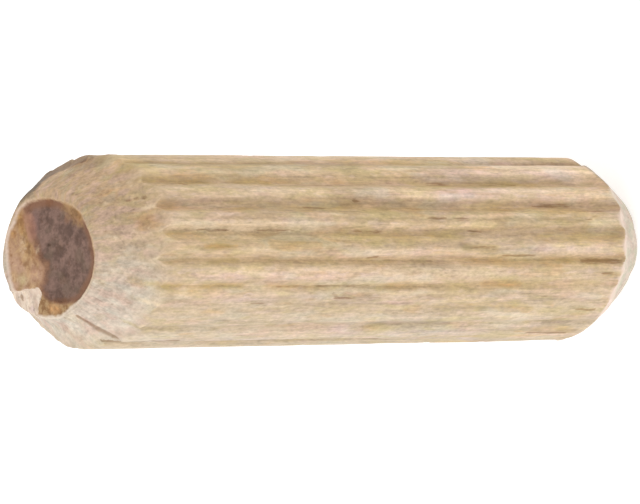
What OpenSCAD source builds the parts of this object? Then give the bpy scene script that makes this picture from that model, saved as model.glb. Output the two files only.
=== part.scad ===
// Fluted hardwood dowel pin, standing on its lower end face.
// Z runs along the pin, and z = 0 is the lower end face.
// All lengths are in millimetres and all angles in degrees.

/* [Pin] */
// Diameter over the crests of the flutes
pin_d = 8; // [6:0.5:12]
// Length from end face to end face
pin_l = 35; // [25:1:60]

/* [Flutes] */
// Number of flutes round the pin
flute_n = 20; // [14:1:22]
// Depth of each flute below the crests
flute_depth = 0.3; // [0.15:0.05:0.4]
// Width of each flute where it opens at the crests
flute_w = 0.56; // [0.4:0.02:0.7]
// Direction of the first flute, seen from above
flute_turn = 14.6; // [0:0.1:18]

/* [Upper end] */
// Diameter of the upper end face
top_face_d = 5.2; // [4:0.1:5.4]
// Radial fall of the upper chamfer for each millimetre along the pin
top_slope = 0.6; // [0.5:0.05:1.2]
// How far the upper chamfer was cut off centre, along X
top_off_x = -0.05; // [-0.3:0.01:0.3]
// How far the upper chamfer was cut off centre, along Y
top_off_y = 0.28; // [-0.3:0.01:0.3]

/* [Lower end] */
// Diameter of the lower end face
low_face_d = 5.3; // [4:0.1:5.4]
// Radial fall of the lower chamfer for each millimetre along the pin
low_slope = 0.52; // [0.5:0.02:1.2]
// How far the lower chamfer was cut off centre, along X
low_off_x = 0.09; // [-0.3:0.01:0.3]
// How far the lower chamfer was cut off centre, along Y
low_off_y = 0.04; // [-0.3:0.01:0.3]

/* [Chip] */
// Direction of the chip broken from the rim of the upper end face
chip_turn = 148; // [0:1:359]
// Width of the chip along the rim
chip_w = 1.9; // [1:0.1:2.4]
// How far the chip reaches in from the rim
chip_reach = 1.05; // [0.5:0.05:1.4]
// Depth of the chip where it meets the rim
chip_depth = 0.42; // [0.2:0.02:0.6]

/* [Hidden] */
$fn = 96;

pin_r = pin_d / 2;
top_r = top_face_d / 2;
low_r = low_face_d / 2;
// How far past the crests the chamfer cones run, so that no edge falls on the crest circle
past = 1.5;
// A flute is a round-bottomed channel: the radius of its cutter, from its width and depth
cut_r = (flute_w * flute_w / 4 + flute_depth * flute_depth) / (2 * flute_depth);
// Distance of the cutter's centre from the pin's axis
cut_at = pin_r - flute_depth + cut_r;
// Slope of the chip's floor, from nothing at its inner end to chip_depth at the rim
chip_tilt = atan(chip_depth / chip_reach);

// Section of the pin: a round rod with the flutes cut into it
module section() {
    difference() {
        circle(r = pin_r);
        for (i = [0 : flute_n - 1])
            rotate(flute_turn + i * 360 / flute_n)
                translate([cut_at, 0]) circle(r = cut_r, $fn = 48);
    }
}

// Everything below the upper end face and inside the upper chamfer
module under_top() {
    translate([top_off_x, top_off_y, 0])
        rotate_extrude()
            polygon([[0, -1], [pin_r + past, -1],
                     [pin_r + past, pin_l - (pin_r + past - top_r) / top_slope],
                     [top_r, pin_l], [0, pin_l]]);
}

// Everything above the lower end face and inside the lower chamfer
module over_low() {
    translate([low_off_x, low_off_y, 0])
        rotate_extrude()
            polygon([[0, 0], [low_r, 0],
                     [pin_r + past, (pin_r + past - low_r) / low_slope],
                     [pin_r + past, pin_l + 1], [0, pin_l + 1]]);
}

// The chip: a flat floor that falls outward to the rim, between two side walls that splay
module chip() {
    translate([top_off_x, top_off_y, pin_l])
        rotate(chip_turn)
            translate([top_r - chip_reach, 0, 0])
                rotate([0, chip_tilt, 0])
                    linear_extrude(height = 3)
                        polygon([[0, -chip_w * 0.34], [3, -chip_w * 0.86],
                                 [3, chip_w * 0.78], [0.12, chip_w * 0.3],
                                 [-0.06, 0]]);
}

module dowel_pin() {
    color([0.82, 0.71, 0.58])
        difference() {
            intersection() {
                translate([0, 0, -0.5]) linear_extrude(height = pin_l + 1) section();
                under_top();
                over_low();
            }
            chip();
        }
}

dowel_pin();
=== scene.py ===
import math
import bpy
import numpy as np
from mathutils import Matrix, Vector
from mathutils.geometry import delaunay_2d_cdt


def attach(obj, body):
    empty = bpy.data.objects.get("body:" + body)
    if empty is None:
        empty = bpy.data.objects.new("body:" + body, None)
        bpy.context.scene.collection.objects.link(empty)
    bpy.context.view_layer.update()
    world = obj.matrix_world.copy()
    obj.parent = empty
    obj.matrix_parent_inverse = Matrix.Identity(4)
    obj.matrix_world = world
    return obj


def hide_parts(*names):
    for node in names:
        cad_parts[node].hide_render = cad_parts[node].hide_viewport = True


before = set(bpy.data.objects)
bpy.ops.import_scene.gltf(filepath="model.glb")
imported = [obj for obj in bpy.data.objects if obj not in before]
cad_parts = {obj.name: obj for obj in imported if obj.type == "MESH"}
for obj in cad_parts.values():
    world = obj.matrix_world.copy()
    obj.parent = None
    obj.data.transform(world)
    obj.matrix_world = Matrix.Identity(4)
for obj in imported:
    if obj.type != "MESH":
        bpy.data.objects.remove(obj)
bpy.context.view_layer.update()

scene = bpy.context.scene
MM = 0.001

# ---------------------------------------------------------------------------
# Sizes of the pin, in millimetres, as the CAD frame has them.
# phi is measured round the pin from the -Y side, positive towards -X.
# s is measured down the pin from the upper end face: z = L - s.
# On an end face, b = -x and c = -y.
# ---------------------------------------------------------------------------
L = 35.0
R = 4.0
N = 20
PITCH = 360.0 / N
FIRST = 3.4                      # phi of flute 0
TOP_R, TOP_SLOPE = 2.6, 0.6
TOP_OFF = (0.05, -0.28)          # b, c
LOW_R, LOW_SLOPE = 2.65, 0.52
LOW_OFF = (-0.09, -0.04)
SUB = 20                         # columns per flute
NC = N * SUB


# ---------------------------------------------------------------------------
# Camera: a long lens from above and in front of the pin, rolled so that the
# standing pin lies across the picture with its upper end at the left.
# ---------------------------------------------------------------------------
def make_camera():
    th, roll = math.radians(40.432), -0.0060135
    px_mm, dist = 24.68, 325.6
    x0, y0 = -10.775, -0.0122
    f = px_mm * dist
    a = np.array([math.sin(th) * math.cos(roll), math.sin(th) * math.sin(roll), math.cos(th)])
    fwd = np.array([0.0, 0.0, 1.0])
    cam_dir = -fwd + a * float(fwd @ a)
    cam_dir /= np.linalg.norm(cam_dir)
    bot = np.cross(a, cam_dir)
    if bot[1] < 0:
        bot = -bot
    m = np.column_stack([-bot, -cam_dir, -a])          # world X, Y, Z in the camera's frame
    pos = np.array([0, 0, L]) - m.T @ np.array([x0, y0, dist])
    rot = (np.diag([1.0, -1.0, -1.0]) @ m).T
    data = bpy.data.cameras.new("camera")
    data.sensor_fit = "HORIZONTAL"
    data.sensor_width = 36.0
    data.lens = f * 36.0 / 640.0
    data.clip_start = 0.01
    data.clip_end = 50.0
    ob = bpy.data.objects.new("camera", data)
    mw = Matrix([[*rot[0], pos[0] * MM], [*rot[1], pos[1] * MM], [*rot[2], pos[2] * MM], [0, 0, 0, 1]])
    ob.matrix_world = mw
    scene.collection.objects.link(ob)
    scene.camera = ob
    return ob


make_camera()


# ---------------------------------------------------------------------------
# Noise and curves
# ---------------------------------------------------------------------------
def fade(t):
    return t * t * t * (t * (t * 6 - 15) + 10)


def noise2(seed, u, v, nu):
    """Smooth noise in -1..1. u counts cells and wraps at nu."""
    rng = np.random.RandomState(seed)
    nv = int(np.ceil(v.max())) + 3
    g = rng.rand(nu, nv) * 2 - 1
    iu, iv = np.floor(u).astype(int), np.floor(v).astype(int)
    fu, fv = fade(u - iu), fade(v - iv)
    a, b = iu % nu, (iu + 1) % nu
    c, d = np.clip(iv, 0, nv - 1), np.clip(iv + 1, 0, nv - 1)
    return (g[a, c] * (1 - fu) + g[b, c] * fu) * (1 - fv) + (g[a, d] * (1 - fu) + g[b, d] * fu) * fv


def fbm(seed, phi, s, nu, ds, octaves=3, gain=0.5):
    """Noise over phi (degrees, nu cells round) and s (mm, ds mm a cell)."""
    total, amp, norm = 0, 1.0, 0
    u = (phi % 360.0) / 360.0 * nu
    v = (s + 2.0) / ds
    for o in range(octaves):
        total = total + amp * noise2(seed + 31 * o, u * 2 ** o, v * 2 ** o, nu * 2 ** o)
        norm += amp
        amp *= gain
    return total / norm


def plane_noise(seed, x, y, cell, octaves=3, gain=0.5):
    total, amp, norm = 0, 1.0, 0
    for o in range(octaves):
        c = cell / 2 ** o
        u, v = (x + 20) / c, (y + 20) / c
        total = total + amp * noise2(seed + 57 * o, u, v, int(60 / c) + 3)
        norm += amp
        amp *= gain
    return total / norm


def step(e0, e1, x):
    t = np.clip((x - e0) / (e1 - e0), 0, 1)
    return t * t * (3 - 2 * t)


def bump(x, centre, width):
    """A smooth hump, 1 at the centre and 0 at width away."""
    t = np.clip(1 - ((x - centre) / width) ** 2, 0, 1)
    return t * t


def wrap_deg(a):
    return (a + 180.0) % 360.0 - 180.0


def ring(points, phi):
    """A smooth closed curve round the pin through (phi, value) points."""
    p = np.array(sorted(points), float)
    xs = np.concatenate([[p[-1, 0] - 360], p[:, 0], [p[0, 0] + 360]])
    ys = np.concatenate([[p[-1, 1]], p[:, 1], [p[0, 1]]])
    x = wrap_deg(phi)
    i = np.clip(np.searchsorted(xs, x), 1, len(xs) - 1)
    t = (x - xs[i - 1]) / (xs[i] - xs[i - 1])
    t = t * t * (3 - 2 * t)
    return ys[i - 1] * (1 - t) + ys[i] * t


def along(points, x):
    """A smooth open curve through (x, value) points."""
    p = np.array(sorted(points), float)
    i = np.clip(np.searchsorted(p[:, 0], x), 1, len(p) - 1)
    t = np.clip((x - p[i - 1, 0]) / (p[i, 0] - p[i - 1, 0]), 0, 1)
    t = t * t * (3 - 2 * t)
    return p[i - 1, 1] * (1 - t) + p[i, 1] * t


def rounded(poly, times=2):
    p = np.array(poly, float)
    for _ in range(times):
        q = np.roll(p, -1, 0)
        p = np.stack([p * 0.75 + q * 0.25, p * 0.25 + q * 0.75], 1).reshape(-1, 2)
    return p


def signed_distance(poly, b, c):
    """Distance to a closed outline, negative inside it."""
    best = np.full(b.shape, 1e9)
    inside = np.zeros(b.shape, bool)
    q = np.roll(poly, -1, 0)
    for (x0, y0), (x1, y1) in zip(poly, q):
        dx, dy = x1 - x0, y1 - y0
        t = np.clip(((b - x0) * dx + (c - y0) * dy) / (dx * dx + dy * dy), 0, 1)
        best = np.minimum(best, np.hypot(b - x0 - t * dx, c - y0 - t * dy))
        if dy != 0:
            crosses = (y0 > c) != (y1 > c)
            inside ^= crosses & (b < x0 + (c - y0) / dy * dx)
    return np.where(inside, -best, best)


# ---------------------------------------------------------------------------
# The shape of the pin's side
# ---------------------------------------------------------------------------
def circle_radius(phi, off, rc):
    """Distance from the axis, in direction phi, to a circle of radius rc centred at off."""
    p = np.radians(phi)
    e = off[0] * np.sin(p) + off[1] * np.cos(p)
    return e + np.sqrt(rc * rc - (off[0] ** 2 + off[1] ** 2) + e * e)


# how far the hand-turned upper cone stands proud of a true one, by direction
CONE_FORM = [(-180, 0), (-140, 0), (-106, -0.12), (-85, 0), (-60, -0.05), (-49, -0.10), (-31, -0.13), (-14, -0.05),
             (3.4, 0.18), (12, 0.10), (21, 0.08), (39, 0.08), (49, -0.05), (57.4, -0.20), (66, -0.05), (75, 0.22),
             (90, 0.42), (100, 0.40), (112, 0.16), (122, -0.02), (140, 0)]
CRACK = [(70.8, 0.32), (69.6, 1.1), (67.8, 2.2)]


def top_cone(phi, s):
    r = circle_radius(phi, TOP_OFF, TOP_R + TOP_SLOPE * s)
    full = 1.6 + 0.9 * bump(wrap_deg(phi - 100), 0, 32)
    r = r + ring(CONE_FORM, phi) * step(0.5, full, s)
    r = r - 0.14 * bump(wrap_deg(phi - 118), 0, 26) * bump(s, 1.15, 1.05)
    r = r - 0.065 * bump(wrap_deg(phi + 106), 0, 20) * bump(s, 1.45, 0.50) - 0.13 * bump(wrap_deg(phi + 109), 0, 18) * bump(s, 2.10, 0.55)
    r = r - 0.13 * bump(wrap_deg(phi - 102), 0, 26) * bump(s, 0.78, 0.60) + 0.09 * bump(wrap_deg(phi - 93), 0, 14) * bump(s, 1.65, 0.5) - 0.11 * bump(wrap_deg(phi - 113.5), 0, 9) * bump(s, 1.65, 0.5)
    rim = 0.07 * bump(wrap_deg(phi + 124), 0, 20) - 0.13 * bump(wrap_deg(phi + 160), 0, 30)
    low = 0.18 * bump(wrap_deg(phi - 136), 0, 18) + 0.08 * bump(wrap_deg(phi - 138), 0, 9) - 0.06 * bump(wrap_deg(phi - 178), 0, 20) + 0.04 * bump(wrap_deg(phi - 172), 0, 18)
    return r + rim * (1 - step(0.2, 1.4, s)) + low * (1 - step(0.05, 0.8, s))


def cone_skin(phi, s):
    """Tool streaks, torn fibres and pores of the upper cone."""
    lean = phi + 11.0 * s
    h = 0.012 * fbm(801, lean, s, 100, 1.3, 1) * step(0.2, 1.1, s)
    h = h + 0.015 * fbm(811, phi, s, 56, 0.30, 2) * (0.35 + 0.65 * step(0.2, 1.0, s))
    pit = fbm(821, phi, s, 130, 0.18, 1)
    h = h - 0.012 * step(0.35, 0.9, pit) * step(-0.3, 0.3, fbm(823, phi, s, 26, 0.9, 1))
    return h


def crack_depth(phi, s, spread=1.0):
    centre = along([(b, a) for a, b in CRACK], s)
    d = np.radians(np.abs(wrap_deg(phi - centre))) * (2.75 + 0.55 * s)
    on = step(0.26, 0.40, s) * (1 - step(2.05, 2.45, s))
    width = 0.055 + 0.018 * fbm(831, phi * 0, s, 3, 0.3, 2)
    return on * np.clip(1 - d / width / 1.25 / spread, 0, 1)


LOW_FORM = [(-180, 0), (-110, 0), (-80, 0), (-62, -0.08), (-46, -0.01), (-32, -0.04), (-17, -0.09), (0, -0.06), (15, -0.07), (27, -0.14), (38, -0.12),
            (60, -0.03), (85, 0.02), (120, 0)]


def low_cone(phi, s):
    notch = 0.22 * bump(wrap_deg(phi + 63.5), 0, 4.5) * step(L - 2.6, L - 1.4, s)
    shoulder = bump(wrap_deg(phi - 84), 0, 40) * (0.10 * bump(L - s, 2.6, 0.8) - 0.05 * bump(L - s, 0.9, 0.9))
    swell = 0.09 * bump(wrap_deg(phi - 40), 0, 18) * bump(L - s, 2.1, 0.8)
    return circle_radius(phi, LOW_OFF, LOW_R + LOW_SLOPE * (L - s)) + ring(LOW_FORM, phi) - notch - shoulder + swell


# sub-positions of the columns inside one flute, in -1..1, dense at the flute's bottom
_a = (np.arange(SUB) - SUB // 2) / (SUB / 2.0)
SUBPOS = np.sign(_a) * np.abs(_a) ** 1.25
COL_FLUTE = np.repeat(np.arange(N), SUB)
COL_T = np.tile(SUBPOS, N)
COL_BASE = FIRST + PITCH * COL_FLUTE + COL_T * PITCH / 2

# each flute's own form: offset from its even place (degrees), depth, half widths towards lower and higher phi
# (1 reaches the middle of the ridge), shape of the walls, and how much dust, burnish and painted shade it shows
_rng = np.random.RandomState(77)
FORM = np.column_stack([2.4 * (_rng.rand(N) * 2 - 1), 0.27 + 0.035 * (_rng.rand(N) * 2 - 1), 0.8 + 0.2 * (_rng.rand(N) * 2 - 1),
                        0.8 + 0.2 * (_rng.rand(N) * 2 - 1), 1.65 + 0.3 * (_rng.rand(N) * 2 - 1), 0.70 + 0.25 * (_rng.rand(N) * 2 - 1)])
for _k, _v in {-5: (-2.5, 0.26, 0.9, 0.75, 1.7, 0.75), -4: (0.0, 0.25, 0.8, 0.8, 1.8, 0.75), -3: (0.7, 0.26, 0.85, 1.0, 1.30, 0.90),
               -2: (1.7, 0.27, 0.70, 0.95, 1.15, 1.0), -1: (1.6, 0.24, 0.48, 1.0, 1.25, 0.66), 0: (2.6, 0.26, 0.85, 0.85, 1.45, 0.74),
               1: (0.7, 0.115, 0.60, 0.45, 1.3, 0.48), 2: (-2.6, 0.07, 0.8, 0.8, 1.2, 0.25), 3: (-4.6, 0.13, 0.7, 0.6, 1.3, 0.45),
               4: (-2.5, 0.20, 0.55, 0.6, 1.3, 0.75), 5: (0.0, 0.26, 0.8, 0.8, 1.6, 0.5)}.items():
    FORM[_k % N] = _v
SHIFT, DEPTH, WIDE_A, WIDE_B, WALL, TINT = FORM.T
# some flutes run a little askew: degrees added near the upper end and past the middle
SKEW = np.zeros((N, 2))
FLAT = np.ones(N)
FLAT[-1 % N] = 1.25
for _k, _v in {-3: (1.7, 2.2), -2: (1.5, 2.2), -1: (0.0, 1.1), 0: (-1.0, 0.9), 1: (-0.7, 1.0)}.items():
    SKEW[_k % N] = _v


def worn_out(idx, s):
    return np.where(idx % N == 4, 1 - 0.85 * step(15.0, 21.0, s), 1.0)


def flute_depth(idx, s):
    d = DEPTH[idx % N] * (1 + 0.10 * noise2(410, (idx % N).astype(float) * 7.0, (s + 2) / 6.0, 400))
    # on the far side the flutes only reach their depth a little way down
    where = wrap_deg(FIRST + PITCH * idx)
    late = np.maximum(bump(where, -118, 45), bump(where, 104, 40))
    d = d * (1 - late * (1 - step(1.4, 4.6, s)) * 0.85)
    # one flute is only worn in near the lower end, and another only near the upper
    d = np.where(idx % N == (-4) % N, d * (0.42 + 0.68 * step(23.2, 25.6, s)), d)
    return d * worn_out(idx, s)


def wobble(idx, s):
    """How far flute idx lies off its even place, in degrees."""
    t = np.clip((s - 4.0) / 13.0, 0, 1)
    skew = SKEW[idx % N, 0] * (1 - t) + SKEW[idx % N, 1] * t
    # one leans towards its neighbour near the lower end
    skew = skew + np.where(idx % N == (-4) % N, along([(0.0, 2.2), (23.2, 2.0), (25.6, -3.0), (35.0, -3.6)], s), 0.0)
    return SHIFT[idx % N] + skew + 0.4 * noise2(300, (idx % N).astype(float) * 5.0, (s + 2) / 9.0, 400)


def column_phi(col, s):
    idx, t = COL_FLUTE[col], COL_T[col]
    w0 = wobble(idx, s)
    w1 = np.where(t < 0, wobble(idx - 1, s), wobble(idx + 1, s))
    k = np.abs(t) * 0.5
    return COL_BASE[col] + w0 * (1 - k) + w1 * k


def groove_form(col):
    """1 at the bottom of the flute, 0 on the ridge."""
    idx, t = COL_FLUTE[col], COL_T[col]
    q = np.abs(t) / np.where(t < 0, WIDE_A[idx], WIDE_B[idx])
    q = np.clip((np.sqrt(q * q + 0.07 ** 2) - 0.07) / (math.sqrt(1 + 0.07 ** 2) - 0.07), 0, 1)
    # a little rounding where the wall meets the ridge
    f = (1 - q) ** WALL[idx] * (1 - 0.25 * bump(q, 1.0, 0.35))
    # some are flat at the bottom
    return np.minimum(f * FLAT[idx], 1 - 0.10 * (1 - f))


def fluted(col, s):
    """Radius of the fluted body on a column."""
    return R - flute_depth(COL_FLUTE[col], s) * groove_form(col)


cols = np.arange(NC)


def meet_top():
    s = np.full(NC, 2.4)
    for _ in range(12):
        rb = fluted(cols, s)
        phi = column_phi(cols, s)
        lo, hi = np.full(NC, 0.0), np.full(NC, 8.0)
        for _ in range(40):
            mid = (lo + hi) / 2
            inside = top_cone(phi, mid) < rb
            lo, hi = np.where(inside, mid, lo), np.where(inside, hi, mid)
        s = (lo + hi) / 2
    return s


def meet_low():
    s = np.full(NC, L - 2.6)
    for _ in range(12):
        rb = fluted(cols, s)
        phi = column_phi(cols, s)
        lo, hi = np.full(NC, L - 8.0), np.full(NC, L)
        for _ in range(40):
            mid = (lo + hi) / 2
            inside = low_cone(phi, mid) < rb
            lo, hi = np.where(inside, lo, mid), np.where(inside, mid, hi)
        s = (lo + hi) / 2
    return s


S_TOP, S_LOW = meet_top(), meet_low()
# the torn edge between cone and flutes is not a clean curve
S_TOP = S_TOP + 0.07 * fbm(501, column_phi(cols, S_TOP), S_TOP * 0, 90, 1.0, 2)
print("flutes start", S_TOP.min(), S_TOP.max(), "end", S_LOW.min(), S_LOW.max())


# ---------------------------------------------------------------------------
# The upper end face: its zones, and how deep each point lies
# ---------------------------------------------------------------------------
INNER = rounded([(-1.83, -1.74), (-2.12, -1.1), (-2.18, -0.38), (-2.07, 0.11), (-1.97, 0.55), (-1.87, 0.99),
                 (-1.65, 1.32), (-1.32, 1.59), (-0.83, 1.88), (-0.26, 2.10), (0.27, 2.20), (0.79, 2.10), (1.32, 1.88),
                 (1.6, 1.62), (1.97, 1.33), (2.21, 0.92), (2.52, 0.41), (2.62, 0.3), (2.62, -0.95), (2.33, -1.40),
                 (1.96, -1.97), (1.53, -2.25), (1.16, -2.41), (0.75, -2.46), (0.2, -2.58), (-0.29, -2.60),
                 (-0.74, -2.53), (-1.22, -2.15), (-1.63, -1.97)], 1)
DARK = rounded([(-1.91, -1.72), (-2.01, -1.30), (-2.11, -0.77), (-2.17, -0.38), (-2.13, -0.05), (-2.02, 0.35),
                (-1.72, 0.68), (-1.36, 0.92), (-1.22, 1.3), (-1.2, 1.60), (-0.8, 1.86), (-0.26, 2.05), (0.43, 2.13),
                (1.0, 2.02), (1.45, 1.80), (1.93, 1.40), (2.05, 0.85), (2.09, 0.3), (2.05, -0.30), (1.84, -0.62),
                (1.6, -0.88), (1.39, -0.84), (1.19, -0.64), (0.82, -0.56), (0.54, -0.57), (0.29, -0.91),
                (-0.07, -1.03), (-0.32, -1.10), (-0.56, -1.26), (-0.97, -1.44), (-1.38, -1.56), (-1.67, -1.74)])
CHIP = rounded([(1.55, -3.3), (1.58, -2.24), (1.52, -1.63), (1.48, -1.18), (1.43, -0.90), (1.6, -0.86), (1.84, -0.79),
                (2.05, -0.93), (2.29, -0.98), (2.7, -0.95), (3.4, -0.95), (3.4, -3.3)], 1)
GOLD = rounded([(-1.9, 0.44), (-1.85, 0.88), (-1.61, 1.26), (-1.24, 1.59), (-1.08, 1.42), (-1.16, 1.04),
                (-1.41, 0.66), (-1.65, 0.44)])
FOOT = rounded([(1.64, -0.88), (1.88, -0.57), (2.09, -0.14), (2.13, 0.41), (2.09, 0.96), (2.21, 1.07), (2.54, 0.41),
                (2.62, 0.3), (2.62, -0.97), (2.21, -0.99), (1.88, -0.78)], 1)
ORANGE = rounded([(2.13, -0.42), (2.13, 0.08), (2.29, 0.35), (2.49, 0.19), (2.49, -0.31)])
STRIP = rounded([(-1.58, -1.70), (-1.58, -1.35), (-0.97, -1.16), (-0.49, -1.10), (-0.49, -1.40), (-0.97, -1.62)])
PALE = rounded([(0.94, -2.12), (0.82, -1.79), (1.03, -1.51), (1.39, -1.51), (1.51, -2.07)])


def warp(seed, b, c, amount, cell):
    return (b + amount * plane_noise(seed, b, c, cell, 3), c + amount * plane_noise(seed + 9, b, c, cell, 3))


def face_zones(b, c):
    """Signed distances (mm) of points to the face's zones, with ragged edges."""
    wb, wc = warp(611, b, c, 0.07, 0.3)
    tb, tc = warp(631, b, c, 0.05, 0.26)
    return {"inner": signed_distance(INNER, tb, tc), "dark": signed_distance(DARK, wb, wc),
            "chip": signed_distance(CHIP, tb, tc), "gold": signed_distance(GOLD, wb, wc),
            "foot": signed_distance(FOOT, tb, tc), "orange": signed_distance(ORANGE, tb, tc),
            "pale": signed_distance(PALE, wb, wc), "strip": signed_distance(STRIP, wb, wc)}


def face_depth(b, c):
    z = face_zones(b, c)
    phi = np.degrees(np.arctan2(b, c))
    edge = circle_radius(phi, TOP_OFF, TOP_R) - np.hypot(b, c)
    d = 0.045 * (1 - step(-0.02, 0.13, edge)) ** 1.3
    d = d + 0.05 * step(0.05, -0.07, z["inner"])
    dark = step(0.03, -0.10, z["dark"])
    d = d + dark * (0.13 + 0.04 * plane_noise(641, b, c, 0.5, 3))
    d = d + 0.012 * plane_noise(651, b, c, 0.22, 3)
    # the crescent left standing slopes down towards its rim
    d = d + (1 - dark) * step(0.0, -0.2, z["inner"]) * 0.05 * step(-1.2, -2.6, c)
    chip = step(0.03, -0.05, z["chip"])
    torn = 0.14 + 0.27 * np.clip(b - 1.43, 0, 2) + 0.05 * np.clip(-0.7 - c, 0, 2)
    torn = torn + 0.035 * noise2(661, (c + 20) / 0.11, (b + 20) / 0.9, 900) + 0.03 * plane_noise(671, b, c, 0.35, 2)
    return d * (1 - chip) + np.maximum(d, torn) * chip


S_RIM = np.full(NC, 0.04)
for _ in range(8):
    _phi = column_phi(cols, S_RIM)
    _r = top_cone(_phi, S_RIM)
    S_RIM = 0.5 * S_RIM + 0.5 * face_depth(_r * np.sin(np.radians(_phi)), _r * np.cos(np.radians(_phi)))
S_RIM = np.minimum(S_RIM, S_TOP - 0.3)

R_TOPC, R_BODY, R_LOWC = 44, 150, 22
w_body = np.linspace(0, 1, R_BODY + 1)
w_body = w_body + 0.077 * np.sin(-2 * np.pi * w_body)
w_body = (w_body - w_body[0]) / (w_body[-1] - w_body[0])

rows = []          # each row: s of every column
zone = []          # 0 upper cone, 1 body, 2 lower cone
for j in range(R_TOPC):
    rows.append(S_RIM + (S_TOP - S_RIM) * (j / R_TOPC)); zone.append(0)
for j in range(R_BODY + 1):
    rows.append(S_TOP + (S_LOW - S_TOP) * w_body[j]); zone.append(1)
for j in range(1, R_LOWC + 1):
    rows.append(S_LOW + (L - 0.03 - S_LOW) * (j / R_LOWC)); zone.append(2)
SG = np.array(rows)                          # rows x columns
NR = len(SG)
PHI = np.array([column_phi(cols, SG[j]) for j in range(NR)])
EDGE = SG - S_TOP[None, :]                   # mm past the start of the flutes
TAIL = S_LOW[None, :] - SG                   # mm before the end of the flutes


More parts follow.
